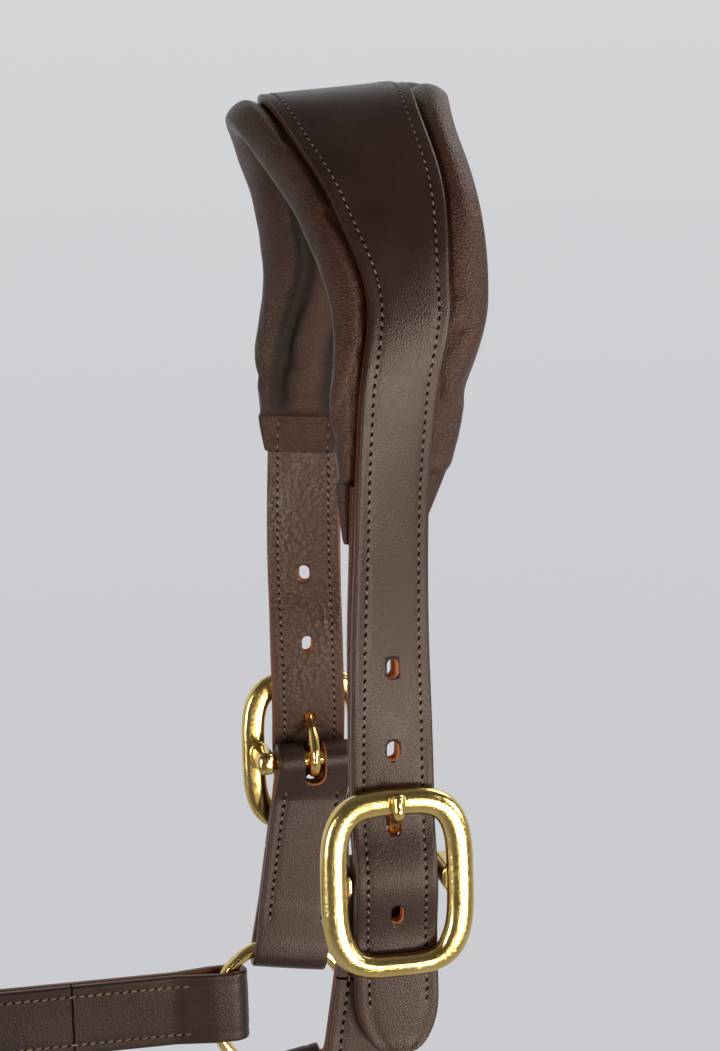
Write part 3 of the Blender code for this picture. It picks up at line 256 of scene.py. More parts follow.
# Arc length, the pad's reach to the front and to the rear, and its thickness
PAD_SHAPE = (
    (0.000, 0.0333, 0.0358, 0.0108),
    (0.030, 0.0309, 0.0303, 0.0106),
    (0.060, 0.0278, 0.0268, 0.0100),
    (0.090, 0.0231, 0.0263, 0.0094),
    (0.120, 0.0191, 0.0260, 0.0086),
    (0.140, 0.0161, 0.0235, 0.0066),
    (0.148, 0.0143, 0.0173, 0.0052),
)
PAD_END = 0.1395
LINING_START = PAD_END + 0.0045
TAB_END = {-1: 0.162, 1: 0.156}
HANDS = ((-1, "left"), (1, "right"))
BILLET_BACK = LINING_THICKNESS + GAP
RING_RADIUS = 0.0245
RING_WIRE = 0.0046
WIRE_RADIUS = RING_WIRE / 2
BAR_TO_RING = 0.0915
FOLD_REACH = 0.0140
BILLET_RISE = 0.0030
BILLET_RISE_REACH = 0.020
LAYER_OFFSET = (FOLD_THICKNESS + GAP) / 2
CHAPE_MIDDLE = BILLET_BACK + GAP + FOLD_THICKNESS + GAP / 2
TIP_RISE = WIRE_RADIUS + FOLD_THICKNESS + 3 * GAP - (CHAPE_MIDDLE - BILLET_BACK)
TIP_RUN_IN = 0.003


def column(table, s, k):
    """Monotone cubic value of one column of a table whose first column is arc length."""
    xs = np.array([row[0] for row in table])
    ys = np.array([row[k] for row in table])
    slopes = np.diff(ys) / np.diff(xs)
    tangents = np.zeros(len(xs))
    for i in range(1, len(xs) - 1):
        a, b = slopes[i - 1], slopes[i]
        tangents[i] = 2 * a * b / (a + b) if a * b > 0 else 0.0
    s = min(max(s, xs[0]), xs[-1])
    i = min(int(np.searchsorted(xs, s, side="right")) - 1, len(xs) - 2)
    h = xs[i + 1] - xs[i]
    t = (s - xs[i]) / h
    return float((1 + 2 * t) * (1 - t) ** 2 * ys[i] + t * (1 - t) ** 2 * h * tangents[i]
                 + t * t * (3 - 2 * t) * ys[i + 1] + t * t * (t - 1) * h * tangents[i + 1])


def smoothstep(t):
    t = min(max(t, 0.0), 1.0)
    return t * t * (3 - 2 * t)


def leg_slope(s):
    return radians(column(CROWN_SLOPE, s, 1))


LENGTH_STEP = 0.0005
LENGTHS = np.arange(0.0, TIP_AT + 0.02, LENGTH_STEP)
MID_SLOPES = [leg_slope(s + LENGTH_STEP / 2) for s in LENGTHS[:-1]]
REACH = np.concatenate([[0.0], np.cumsum(np.cos(MID_SLOPES)) * LENGTH_STEP])
HEIGHT = PAD_SHAPE[0][3] - np.concatenate([[0.0], np.cumsum(np.sin(MID_SLOPES)) * LENGTH_STEP])


def billet_rise(s):
    t = abs(s - BAR_AT) / BILLET_RISE_REACH
    over_bar = BILLET_RISE * cos(t * pi / 2) ** 2 if t < 1 else 0.0
    wire_at = BAR_AT + BAR_TO_RING - RING_RADIUS
    return over_bar + TIP_RISE * smoothstep((s - wire_at + FOLD_REACH + TIP_RUN_IN) / FOLD_REACH)


def crown_frame(s):
    """Centre, rearward side and outward normal of the crown at signed arc length s."""
    hand, s = (1.0 if s >= 0 else -1.0), abs(s)
    slope = leg_slope(s)
    centre = Vector((column(CROWN_SHAPE, s, 1), hand * float(np.interp(s, LENGTHS, REACH)),
                     float(np.interp(s, LENGTHS, HEIGHT))))
    normal = Vector((0.0, hand * sin(slope), cos(slope)))
    twist = radians(column(CROWN_SHAPE, s, 2))
    across = Vector((1.0, 0.0, 0.0))
    side = cos(twist) * across + sin(twist) * normal
    outward = cos(twist) * normal - sin(twist) * across
    return centre + outward * billet_rise(s), side, outward


def crown_half_width(s):
    s = abs(s)
    full = column(CROWN_SHAPE, s, 3)
    into_tip = (s - (TIP_AT - TIP_LENGTH)) / TIP_LENGTH
    if into_tip <= 0:
        return full
    return TIP_WIDTH / 2 + (full - TIP_WIDTH / 2) * sqrt(max(1 - into_tip ** 2, 0.0))


STITCH_INSET = 0.0038
GROOVE_WIDTH = 0.0007


def strap_section(half, low, high, rows=(True, True), depth=0.00022, bulge=0.00018, radius=0.0008, flesh=0.0):
    """Section of a strap with rounded edges, as (across, above, rawness) round its outline.

    Leather is drawn down along the rows of stitches, on the faces that rows names as (low, high).
    flesh is the rawness of the low face.
    """
    radius = min(radius, (high - low) * 0.42, half * 0.5)
    flat = half - radius
    inset = half - STITCH_INSET

    def face(level, sign, sewn, raw=0.0):
        points = []
        for k in range(19):
            u = -flat + 2 * flat * k / 18
            sunk = depth * exp(-((abs(u) - inset) / GROOVE_WIDTH) ** 2) if sewn and inset > 0.003 else 0.0
            points.append((u, level + sign * (bulge * (1 - (u / half) ** 2) - sunk), raw))
        return points

    def corner(level, start, raw):
        return [(flat + radius * cos(t), level + radius * sin(t), raw) for t in arc(start, pi / 2, 6)[1:-1]]

    side = corner(low + radius, -pi / 2, 0.6)
    side += [(half, low + radius, 0.9), (half, high - radius, 0.3)]
    side += corner(high - radius, 0.0, 0.1)
    other = [(-u, v, raw) for u, v, raw in reversed(side)]
    return face(low, -1, rows[0], flesh) + side + face(high, 1, rows[1])[::-1] + other


def skin(name, rings, travel, rawness=None, closed=False):
    """Mesh through a row of equal rings, with a UV map in metres and its raw edges marked. On the crown pad the same
    per-point value carries its painted shade.
    """
    count, around = len(rings), len(rings[0])
    points = [tuple(p) for ring in rings for p in ring]
    middle = rings[count // 2]
    girth = np.concatenate([[0.0], np.cumsum([(middle[(k + 1) % around] - middle[k]).length for k in range(around)])])
    faces, uvs = [], []
    for i in range(count if closed else count - 1):
        j = (i + 1) % count
        far = travel[j] if j else travel[-1] + (rings[0][0] - rings[-1][0]).length
        for k in range(around):
            n = (k + 1) % around
            faces.append((i * around + k, i * around + n, j * around + n, j * around + k))
            uvs += [(travel[i], girth[k]), (travel[i], girth[k + 1]), (far, girth[k + 1]), (far, girth[k])]
    if not closed:
        faces.append(tuple(reversed(range(around))))
        faces.append(tuple(range((count - 1) * around, count * around)))
        uvs += [(travel[0], girth[k]) for k in reversed(range(around))]
        uvs += [(travel[-1], girth[k]) for k in range(around)]
    mesh = bpy.data.meshes.new(name)
    mesh.from_pydata(points, [], faces)
    layer = mesh.uv_layers.new(name="leather")
    layer.data.foreach_set("uv", [c for uv in uvs for c in uv])
    if rawness is not None:
        raw = mesh.attributes.new("raw", "FLOAT", "POINT")
        raw.data.foreach_set("value", [float(v) for v in rawness * count] if len(rawness) == around else rawness)
    turned = bmesh.new()
    turned.from_mesh(mesh)
    if turned.calc_volume(signed=True) < 0:
        bmesh.ops.reverse_faces(turned, faces=turned.faces)
    turned.to_mesh(mesh)
    turned.free()
    mesh.shade_smooth()
    mesh.set_sharp_from_angle(angle=radians(50))
    return put(name, mesh)


def crown_stations(start, end, step=0.0016):
    """Signed arc lengths from one end to the other, crowded where a leg is cut to its tip."""
    tip = TIP_AT - TIP_LENGTH
    row = list(np.arange(start, min(end, tip), step))
    if end > tip:
        row += [tip + TIP_LENGTH * sin(t) for t in arc(0.0, pi / 2, 14)]
    return row


def laid(section, centre, side, normal):
    """A flat section's points, set across a frame."""
    return [centre + float(point[0]) * side + float(point[1]) * normal for point in section]


def crown_skin(name, row, low, high, rows, **more):
    rings, rawness = [], []
    for s in row:
        section = strap_section(crown_half_width(s), low, high, rows, **more)
        rings.append(laid(section, *crown_frame(s)))
        rawness += [r for _, _, r in section]
    return skin(name, rings, row, rawness)


def finished(piece):
    """The mesh with its modifiers applied, on a plain object at the origin."""
    graph = bpy.context.evaluated_depsgraph_get()
    mesh = bpy.data.meshes.new_from_object(piece.evaluated_get(graph))
    mesh.name = piece.name
    piece.modifiers.clear()
    piece.data = mesh
    return piece


def carve(piece, cutters):
    for cutter in cutters:
        modifier = piece.modifiers.new("cut", "BOOLEAN")
        modifier.object, modifier.operation, modifier.solver = cutter, "DIFFERENCE", "EXACT"
        modifier.material_mode = "TRANSFER"
    bpy.context.view_layer.update()
    finished(piece)
    for cutter in cutters:
        bpy.data.objects.remove(cutter)
    return piece


WAX_TINT = rgb(255, 232, 214)


def leather(name, deep, light, raw_edge, grain=0.00005, pore=1500, rough=(0.36, 0.50), coat=0.05, crease=0.0):
    """Leather with a mottled dye, pores, fine creases and a russet cut edge."""
    material, shader, shade, place = new_material(name)
    mottle = shade.noise(place, 55.0, 4.0, 0.6)
    cloud = shade.noise(place, 16.0, 2.0, 0.5)
    pores = shade.cells(place, pore)
    fine = shade.noise(place, pore * 1.1, 3.0, 0.6)
    base = (mottle * 0.55 + cloud * 0.45).step(0.34, 0.66).mix(deep, light)
    base = (fine.step(0.3, 0.75) * 0.35).mix(base, light)
    raw = shade.make("Attribute", {"attribute_name": "raw"}, None, 2)
    fibre = shade.noise(shade.stretched(place, 900.0, 900.0, 2200.0), 1.0, 2.0)
    edge = fibre.step(0.25, 0.8).mix(raw_edge, tuple(c * 0.55 for c in raw_edge[:3]) + (1.0,))
    base = (raw.step(0.3, 0.85) * (0.55 + mottle * 0.4)).mix(base, edge)
    # Creased leather gets a painted highlight: the tops of its pebbles are painted lighter than the grain between them
    if crease:
        base = ((1.0 - pores).step(0.5, 0.95) * 0.5).mix(base, tuple(c * 1.9 for c in light[:3]) + (1.0,))
    normal = shade.bump(pores * 0.6 + fine * 0.5, grain, 0.9)
    roughness = fine * 0.1 + mottle.step(0.3, 0.7) * (rough[1] - rough[0]) + (rough[0] - 0.05)
    if crease:
        lines = shade.noise(shade.stretched(place, 260.0, 260.0, 90.0), 1.0, 5.0, 0.62, 1.2)
        normal = shade.bump(lines, crease, 0.7, normal)
        z = shade.make("SeparateXYZ", None, {0: place}, 2)
        roughness = roughness + (1.0 - z.step(-0.24, -0.16)) * 0.28
    wire(shader, Base_Color=base, Roughness=roughness, Normal=normal, Specular_IOR_Level=0.5,
         Specular_Tint=WAX_TINT, Coat_Weight=coat, Coat_Roughness=0.28)
    return material


RUSSET = rgb(150, 80, 48)
STRAP_LEATHER = leather("bridle leather", rgb(35, 20, 16), rgb(48, 29, 23), RUSSET, 0.00013, 1900, (0.31, 0.41))


def tan_wall():
    """Undyed leather on the walls of punched holes and slots."""
    material, shader, shade, place = new_material("punched leather")
    fibre = shade.noise(place, 1800.0, 3.0)
    base = fibre.step(0.3, 0.7).mix(rgb(176, 98, 46), rgb(206, 136, 78))
    wire(shader, Base_Color=base, Roughness=0.8, Normal=shade.bump(fibre, 0.0001))
    return material


PUNCHED = tan_wall()


def dress(piece, body, slot, material, *nodes):
    if material and not piece.data.materials:
        piece.data.materials.append(material)
    elif material:
        piece.data.materials[0] = material
    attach(piece, body)
    if nodes:
        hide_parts(*nodes)
    return piece


def oval_punch(s, width, length, lean):
    """Rounded oval that cuts a hole through a leg of the crown."""
    centre, side, normal = crown_frame(s)
    up = side.cross(normal) if s >= 0 else normal.cross(side)
    axis = cos(lean) * normal + sin(lean) * up
    along = cos(lean) * up - sin(lean) * normal
    middle = centre + normal * (STRAP_THICKNESS - BILLET_BACK) / 2
    straight = max(length - width, 0.0) / 2
    around = [side * (width / 2 * cos(t)) + along * (width / 2 * sin(t) + straight * (1 if t < pi else -1))
              for t in arc(0.0, 2 * pi, 28)[:-1]]
    rings = [[middle + a + axis * d for a in around] for d in (-0.015, 0.015)]
    punch = skin("punch", rings, (0.0, 0.03))
    punch.data.materials.append(PUNCHED)
    return punch


TONGUE_DIAMETER = 0.0034
# Width, length and lean of a hole, and of the one that the tongue has drawn aslant
PUNCH = (0.0038, 0.0060, 0.0)
TONGUE_HOLE = (TONGUE_DIAMETER + 0.0014, TONGUE_DIAMETER + 0.0018, radians(45))


def punches(hand):
    return [oval_punch(hand * (TONGUE_HOLE_AT + step * HOLE_PITCH), *(PUNCH if step else TONGUE_HOLE))
            for step in (-2, -1, 0, 1)]


leg = crown_stations(0.0, TIP_AT)
crown = crown_skin("crown_strap_leather", [-s for s in reversed(leg)] + leg[1:], 0.0, STRAP_THICKNESS, (False, True))
crown.data.materials.append(STRAP_LEATHER)
carve(crown, punches(-1) + punches(1))
dress(crown, "crown", "strap_leather", None, "crown_strap")

# ---- Stitches
# Waxed linen thread, sewn through pricked holes about 3 mm apart. Each stitch lies a little
# aslant in its prick, and pulls the leather down round it.

STITCH_PITCH = 0.0030


def mesh_piece(name, bm):
    mesh = bpy.data.meshes.new(name)
    bm.to_mesh(mesh)
    bm.free()
    return put(name, mesh)


def stitch_parts():
    """One thread and one pricked hole, along X with Z outwards, for the tree to repeat."""
    parts = []
    for name, segments, turn in (("thread", 5, pi / 2), ("prick", 4, 0.0)):
        ball = bmesh.new()
        bmesh.ops.create_uvsphere(ball, u_segments=8, v_segments=segments, radius=0.5)
        bmesh.ops.rotate(ball, verts=ball.verts, matrix=Matrix.Rotation(turn, 3, "Y"))
        parts.append(mesh_piece(name, ball))
        parts[-1].data.shade_smooth()
        parts[-1].hide_render = True
    return parts


def new_tree(name, numbers, objects, materials):
    """A Geometry Nodes tree, and the values of its named inputs."""
    tree = bpy.data.node_groups.new(name, "GeometryNodeTree")
    kinds = {"Geometry": "Geometry", **dict.fromkeys(numbers, "Float"), **dict.fromkeys(objects, "Object"),
             **dict.fromkeys(materials, "Material")}
    for label, kind in kinds.items():
        tree.interface.new_socket(label, in_out="INPUT", socket_type="NodeSocket" + kind)
    tree.interface.new_socket("Geometry", in_out="OUTPUT", socket_type="NodeSocketGeometry")
    return tree, {socket.name: Shade(tree, socket) for socket in tree.nodes.new("NodeGroupInput").outputs}


def grown(piece, tree, values):
    """The piece as the tree makes it from the given inputs, a plain mesh."""
    modifier = piece.modifiers.new(tree.name, "NODES")
    modifier.node_group = tree
    for item in tree.interface.items_tree:
        if item.in_out == "INPUT" and item.name in values:
            modifier[item.identifier] = values[item.name]
    bpy.context.view_layer.update()
    return finished(piece)


def stitch_tree():
    """Resamples each row by the pitch, and lays a thread and a prick at every point."""
    numbers = ("Pitch", "Thread Length", "Thread Width", "Thread Slant", "Prick Length", "Prick Width", "Prick Slant")
    tree, given = new_tree("stitches", numbers, ("Thread", "Prick"), ("Thread Material", "Prick Material"))
    make = Shade(tree).make
    row = make("GeometryNodeMeshToCurve", None, {"Mesh": given["Geometry"]})
    even = make("GeometryNodeResampleCurve", {"mode": "LENGTH"}, {"Curve": row, "Length": given["Pitch"]})
    tangent = make("GeometryNodeInputTangent")
    outward = make("GeometryNodeInputNamedAttribute", {"data_type": "FLOAT_VECTOR"}, {"Name": "outward"})
    turn = make("FunctionNodeAxesToRotation", {"primary_axis": "Z", "secondary_axis": "X"},
                {"Primary Axis": outward, "Secondary Axis": tangent})
    chance = make("FunctionNodeRandomValue", {"data_type": "FLOAT"}, {2: -0.09, 3: 0.09, "Seed": 7}, 1)
    half = make("VectorMath", {"operation": "SCALE"}, {0: tangent, "Scale": given["Pitch"] * 0.5})
    between = make("GeometryNodeSetPosition", None, {"Geometry": even, "Offset": half})
    join = tree.nodes.new("GeometryNodeJoinGeometry")
    for name, points, height in (("Thread", even, 0.00050), ("Prick", between, 0.00028)):
        part = make("GeometryNodeObjectInfo", None, {"Object": given[name]}, "Geometry")
        euler = make("CombineXYZ", None, {2: given[name + " Slant"] + chance})
        spin = make("FunctionNodeRotateRotation", {"rotation_space": "LOCAL"}, {0: turn, 1: euler})
        size = make("CombineXYZ", None, {0: given[name + " Length"], 1: given[name + " Width"], 2: height})
        laid = make("GeometryNodeInstanceOnPoints", None,
                    {"Points": points, "Instance": part, "Rotation": spin, "Scale": size})
        real = make("GeometryNodeRealizeInstances", None, {0: laid})
        paint = make("GeometryNodeSetMaterial", None, {"Geometry": real, "Material": given[name + " Material"]})
        tree.links.new(paint.socket, join.inputs[0])
    tree.links.new(join.outputs[0], tree.nodes.new("NodeGroupOutput").inputs[0])
    return tree


def thread_finish():
    material, shader, shade, place = new_material("waxed thread")
    twist = shade.noise(place, 2600.0, 2.0)
    stain = shade.noise(place, 120.0, 2.0)
    base = (twist * 0.6 + stain * 0.4).step(0.35, 0.65).mix(rgb(96, 74, 56), rgb(158, 134, 104))
    wire(shader, Base_Color=base, Roughness=0.75, Normal=shade.bump(twist, 0.0001))
    return material


def painted_prick_shade():
    material, shader, shade, place = new_material("pricked hole")
    # Painted shade: each prick is a near black blob that stands in for the shade inside a pricked hole
    painted_hole_shade = shade.noise(place, 900.0, 2.0).step(0.3, 0.7).mix(rgb(10, 6, 5), rgb(20, 12, 9))
    wire(shader, Base_Color=painted_hole_shade, Roughness=0.85, Specular_IOR_Level=0.06)
    return material


THREAD, PRICK = stitch_parts()
STITCHES = stitch_tree()
SEWING = {"Thread": THREAD, "Prick": PRICK, "Thread Material": thread_finish(), "Prick Material": painted_prick_shade()}


def sew(name, rows, body, pitch=STITCH_PITCH, thread=(0.0021, 0.00062), prick=(0.0013, 0.00062), slants=(0.22, 0.75)):
    """Stitches along rows of (point, outward) pairs, made one plain mesh.

    thread and prick are length and width, and slants is the turn of each in radians.
    """
    points, edges, outward = [], [], []
    for row in rows:
        start = len(points)
        points += [tuple(p) for p, _ in row]
        outward += [c for _, n in row for c in n]
        edges += [(start + k, start + k + 1) for k in range(len(row) - 1)]
    mesh = bpy.data.meshes.new(name)
    mesh.from_pydata(points, edges, [])
    mesh.attributes.new("outward", "FLOAT_VECTOR", "POINT").data.foreach_set("vector", outward)
    sizes = {"Pitch": pitch, "Thread Length": thread[0], "Thread Width": thread[1], "Thread Slant": slants[0],
             "Prick Length": prick[0], "Prick Width": prick[1], "Prick Slant": slants[1]}
    piece = grown(put(name, mesh), STITCHES, {**SEWING, **sizes})
    piece.data.shade_smooth()
    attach(piece, body)


def crown_rows(start, end, above, sign):
    """Two rows of stitches down the crown, inside its edges."""
    rows = []
    for edge in (-1, 1):
        row = []
        for s in np.arange(start, end, 0.002):
            centre, side, normal = crown_frame(s)
            u = edge * (crown_half_width(s) - STITCH_INSET)
            row.append((centre + u * side + above * normal, sign * normal))
        rows.append(row)
    return rows


ROW_END = TIP_AT - TIP_LENGTH * 0.85
TOP_ROW_END = 0.085
SUNK = {"thread": (0.0013, 0.00042), "prick": (0.0018, 0.0011), "slants": (0.45, -0.55)}
CROWN_PITCH = 0.0028
THREAD_SINK = 0.00008
FACE = STRAP_THICKNESS - THREAD_SINK
sew("crown_top_stitches", crown_rows(-TOP_ROW_END, TOP_ROW_END, FACE, 1), "crown", CROWN_PITCH, (0.0015, 0.00044),
    (0.0014, 0.0008))
for label, start, end in (("left", -ROW_END, -TOP_ROW_END - 0.001), ("right", TOP_ROW_END + 0.001, ROW_END)):
    sew(f"leg_stitches_{label}", crown_rows(start, end, FACE, 1), "crown", CROWN_PITCH, **SUNK)

# ---- Leg linings
# Each leg is backed with softer, pebbled leather, punched with the same holes and sewn through
# by the same rows of thread.

LINING_LEATHER = leather("lining leather", rgb(42, 25, 19), rgb(66, 43, 33), RUSSET, 0.00042, 560, (0.34, 0.48), 0.0,
                         0.0002)
for hand, label in HANDS:
    row = [hand * s for s in crown_stations(LINING_START, TIP_AT)]
    lining = crown_skin(f"leg_lining_{label}", row, -GAP - LINING_THICKNESS, -GAP, (True, False),
                        bulge=0.0001, radius=0.0006)
    lining.data.materials.append(LINING_LEATHER)
    carve(lining, punches(hand))
    dress(lining, "crown", "lining_leather", None, f"crown_lining_{label}")
    start, end = sorted((hand * (TAB_END[hand] + 0.001), hand * ROW_END))
    sew(f"leg_lining_stitches_{label}", crown_rows(start, end, -GAP - LINING_THICKNESS + 0.00006, -1), "crown",
        CROWN_PITCH, (0.0012, 0.00046), (0.0015, 0.0008))

# ---- Crown pad
# A cover of soft, fine-creased leather over foam. It is sewn under the crown strap's edges,
# rolls out past them on both sides, and ends in a flat tab sewn over each lining.

PAD_SLOT_INSET = 0.0065
PAD_ROLL_RISE = 0.0014
PAD_CHANNEL = 0.0052
PAD_CHANNEL_INSET = 0.0038
PAD_PANEL_INSET = 0.0085
PAD_SEAT_GAP = 0.0004
PAD_BLUNT_END = 0.0036
PAD_COVER_THICKNESS = 0.0013
PAD_AROUND = 60
# Section points at the bottoms of the two sewn valleys, where shade is painted in
PAD_VALLEYS = (24, 33)
CLOTH_FRAMES = 20
CLOTH_MOST = 0.0008


def both_edges(front, rear):
    """The section's outline: down its rear edge and back up its front edge."""
    return rear + [(-u, v) for u, v in reversed(front)]


def pad_outline(s):
    """The stuffed section at arc length s, through twenty points that the rolls pass."""
    front, rear, thick = (column(PAD_SHAPE, abs(s), k) for k in (1, 2, 3))
    half = crown_half_width(s)
    puff = (thick - PAD_SHAPE[-1][3]) / (PAD_SHAPE[0][3] - PAD_SHAPE[-1][3])

    def edge(reach):
        spare = reach - half - GAP
        rise = min(PAD_ROLL_RISE, spare * 0.3) * puff
        return [(half - PAD_SLOT_INSET, -PAD_SEAT_GAP), (half + GAP, -PAD_SEAT_GAP), (half + 0.45 * spare, rise - GAP),
                (half + 0.80 * spare, 0.2 * rise - 0.08 * thick), (reach, -0.36 * thick),
                (half + 0.92 * spare, -0.66 * thick), (half + 0.62 * spare, -0.90 * thick),
                (half + 0.10 * spare, -thick), (half - PAD_CHANNEL_INSET, -thick + PAD_CHANNEL * puff),
                (half - PAD_PANEL_INSET, -thick + 0.1 * PAD_CHANNEL * puff)]

    return both_edges(edge(front), edge(rear))


def smooth_run(a, b, c, d, steps):
    """Points from b up to c, on a smooth curve through all four."""
    return [0.5 * (2 * b + (c - a) * t + (2 * a - 5 * b + 4 * c - d) * t * t + (3 * b - a - 3 * c + d) * t ** 3)
            for t in (k / steps for k in range(steps))]


def rounded(points, steps=3):
    """Closed smooth outline through the given points."""
    smooth = []
    for i in range(len(points)):
        smooth += smooth_run(*(np.array(points[(i + k) % len(points)]) for k in (-1, 0, 1, 2)), steps)
    return smooth


def tab_outline(s):
    """Past the stuffing the cover lies flat between the stitches, and its rolls run out to the strap's edges."""
    cut_in = min(max((abs(s) - PAD_END) / (TAB_END[1 if s > 0 else -1] - PAD_END), 0.0), 1.0)
    half = STRAP_WIDTH / 2
    top = -BILLET_BACK - GAP
    low = top - PAD_COVER_THICKNESS

    def edge(k):
        spare = (column(PAD_SHAPE, PAD_END, k) - half) * (1 - cut_in ** 1.3) + 0.0004
        roll = min(0.4 * spare, 0.0030)
        return [(half - PAD_SLOT_INSET, top), (half - 0.0004, top), (half - 0.0002 + 0.45 * spare, top + 0.3 * roll),
                (half + 0.80 * spare, top + 0.1 * roll), (half + spare, (top + low) / 2 - 0.4 * roll),
                (half + 0.92 * spare, low - 0.6 * roll), (half + 0.62 * spare, low - roll),
                (half + 0.10 * spare, low - 0.8 * roll), (half - PAD_CHANNEL_INSET, low), (half - PAD_PANEL_INSET, low)]

    return both_edges(edge(1), edge(2))


def build_pad():
    body = list(np.linspace(-PAD_END, PAD_END, 140))
    ends = [PAD_END + PAD_BLUNT_END * sin(t) for t in arc(0.0, pi / 2, 6)[1:]]
    tabs = [list(np.linspace(LINING_START + 0.0006, TAB_END[hand], 12)) for hand in (-1, 1)]
    row = [-s for s in reversed(ends + tabs[0])] + body + ends + tabs[1]
    rings, painted_pad_shade = [], []
    for s in row:
        into_end = min(max((abs(s) - PAD_END) / PAD_BLUNT_END, 0.0), 1.0)
        flat = 1 - sqrt(1 - into_end ** 2)
        outline = [np.array(a) * (1 - flat) + np.array(b) * flat
                   for a, b in zip(rounded(pad_outline(s)), rounded(tab_outline(s)))]
        rings.append(laid(outline, *crown_frame(s)))
        # Painted shade: near black along the two sewn valleys of the stuffed body, fading out past its end; the blunt
        # ends and tabs are darkened all round
        painted_valley_shade = smoothstep((PAD_END + 0.004 - abs(s)) / 0.006)
        shut = 0.3 * (1 - painted_valley_shade)
        painted_pad_shade += [shut + painted_valley_shade * max(exp(-((k - seam) / 3.0) ** 2) for seam in PAD_VALLEYS)
                 for k in range(PAD_AROUND)]
    return skin("crown_pad_leather", rings, row, painted_pad_shade), row


def puff_up(pad, row):
    """Cloth under pressure, held along the seams, lets the leather take its own creases."""
    start = np.array([v.co for v in pad.data.vertices])
    held = pad.vertex_groups.new(name="sewn")
    for i, s in enumerate(row):
        half = crown_half_width(s)
        centre, side, normal = crown_frame(s)
        for index in range(i * PAD_AROUND, (i + 1) * PAD_AROUND):
            offset = Vector(start[index]) - centre
            u, v = abs(offset.dot(side)), offset.dot(normal)
            seam = abs(u - (half - PAD_CHANNEL_INSET)) < 0.0012 and v < -0.004
            if abs(s) > PAD_END - 0.006 or (u < half + 0.0012 and v > -0.0016) or seam:
                held.add([index], 1.0, "REPLACE")
    cloth = pad.modifiers.new("cloth", "CLOTH")
    feel = {"vertex_group_mass": "sewn", "quality": 6, "mass": 0.3, "tension_stiffness": 12,
            "compression_stiffness": 12, "bending_stiffness": 0.4, "use_pressure": True,
            "uniform_pressure_force": 4.0, "shrink_min": -0.05}
    for name, value in feel.items():
        setattr(cloth.settings, name, value)
    cloth.settings.effector_weights.gravity = 0.0
    cloth.point_cache.frame_start, cloth.point_cache.frame_end = 1, CLOTH_FRAMES
    for number in range(1, CLOTH_FRAMES + 1):
        bpy.context.scene.frame_set(number)
    finished(pad)
    bpy.context.scene.frame_set(1)
    move = np.array([v.co for v in pad.data.vertices]) - start
    size = np.linalg.norm(move, axis=1, keepdims=True)
    move *= np.minimum(1.0, CLOTH_MOST / np.maximum(size, 1e-9))
    pad.data.vertices.foreach_set("co", (start + move).ravel())
    pad.data.update()


def pad_finish():
    """Soft calf: creases run across the rolls, over a fine grain."""
    material, shader, shade, place = new_material("pad leather")
    sheet = shade.make("TexCoord", None, None, 2)
    grain = shade.cells(place, 1700)
    creases = shade.noise(shade.stretched(sheet, 1500.0, 620.0), 1.0, 4.0, 0.6, 0.8)
    folds = shade.noise(shade.stretched(sheet, 240.0, 60.0), 1.0, 3.0, 0.55, 0.6)
    mottle = shade.noise(place, 45.0, 3.0, 0.6)
    base = mottle.step(0.32, 0.68).mix(rgb(44, 24, 17), rgb(62, 36, 26))
    base = (creases.step(0.45, 0.75) * 0.4).mix(base, rgb(92, 58, 42))
    # Painted shade from the pad's per-point value: the sewn valleys go near black and the blunt ends and tabs darker,
    # all of them rougher too
    painted_valley_shade = shade.make("Attribute", {"attribute_name": "raw"}, None, 2).step(0.05, 0.8)
    base = (painted_valley_shade * 0.92).mix(base, rgb(11, 7, 6))
    normal = shade.bump(creases * 0.8 + grain * 0.6, 0.00032, 1.0)
    normal = shade.bump(folds, 0.0006, 0.5, normal)
    wire(shader, Base_Color=base, Roughness=creases * 0.14 + 0.27 + painted_valley_shade * 0.3, Normal=normal,
         Specular_IOR_Level=0.5, Specular_Tint=WAX_TINT)
    return material


pad, pad_row = build_pad()
puff_up(pad, pad_row)
modifier = pad.modifiers.new("smooth", "SUBSURF")
modifier.levels = modifier.render_levels = 1
finished(pad)
dress(pad, "crown", "pad_leather", pad_finish(), "crown_pad_cover")
TAB_STITCH_START = PAD_END + 0.0065
for hand, label in HANDS:
    start, end = sorted((hand * TAB_STITCH_START, hand * (TAB_END[hand] - 0.0015)))
    sew(f"pad_tab_stitches_{label}", crown_rows(start, end, -BILLET_BACK - GAP - PAD_COVER_THICKNESS, -1), "crown",
        thread=(0.0012, 0.00045))


def plain_finish(name, one, other, scale, rough, metal=0.0):
    """Finish of the pieces that are hidden inside others."""
    material, shader, shade, place = new_material(name)
    cloud = shade.noise(place, scale, 3.0)
    wire(shader, Base_Color=cloud.step(0.3, 0.7).mix(one, other), Roughness=rough, Metallic=metal,
         Normal=shade.bump(cloud, 0.0001))
    return material


def refinish(node, material):
    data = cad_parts[node].data
    data.materials.clear()
    data.materials.append(material)


FOAM_SHORT = 0.012


def build_foam():
    """A sheet of foam behind the cover's seat, between its sewn valleys."""
    rings, row = [], list(np.linspace(-PAD_END + FOAM_SHORT, PAD_END - FOAM_SHORT, 90))
    for s in row:
        half = crown_half_width(s) - PAD_SLOT_INSET
        outline = [(half, -0.0022), (half, -0.0038), (0.0, -0.0042), (-half, -0.0038), (-half, -0.0022), (0.0, -0.0018)]
        rings.append(laid(rounded(outline, 4), *crown_frame(s)))
    return skin("crown_pad_foam", rings, row)


dress(build_foam(), "crown", "foam", plain_finish("foam", rgb(214, 205, 180), rgb(190, 178, 150), 700.0, 0.95),
      "crown_pad_core")

# ---- Buckles
# Cast brass, tumbled and hand polished. The frame is a rounded oblong with full, domed sides.
# Behind it two lugs carry the round centre bar. The tongue is a bent brass pin with an eye.

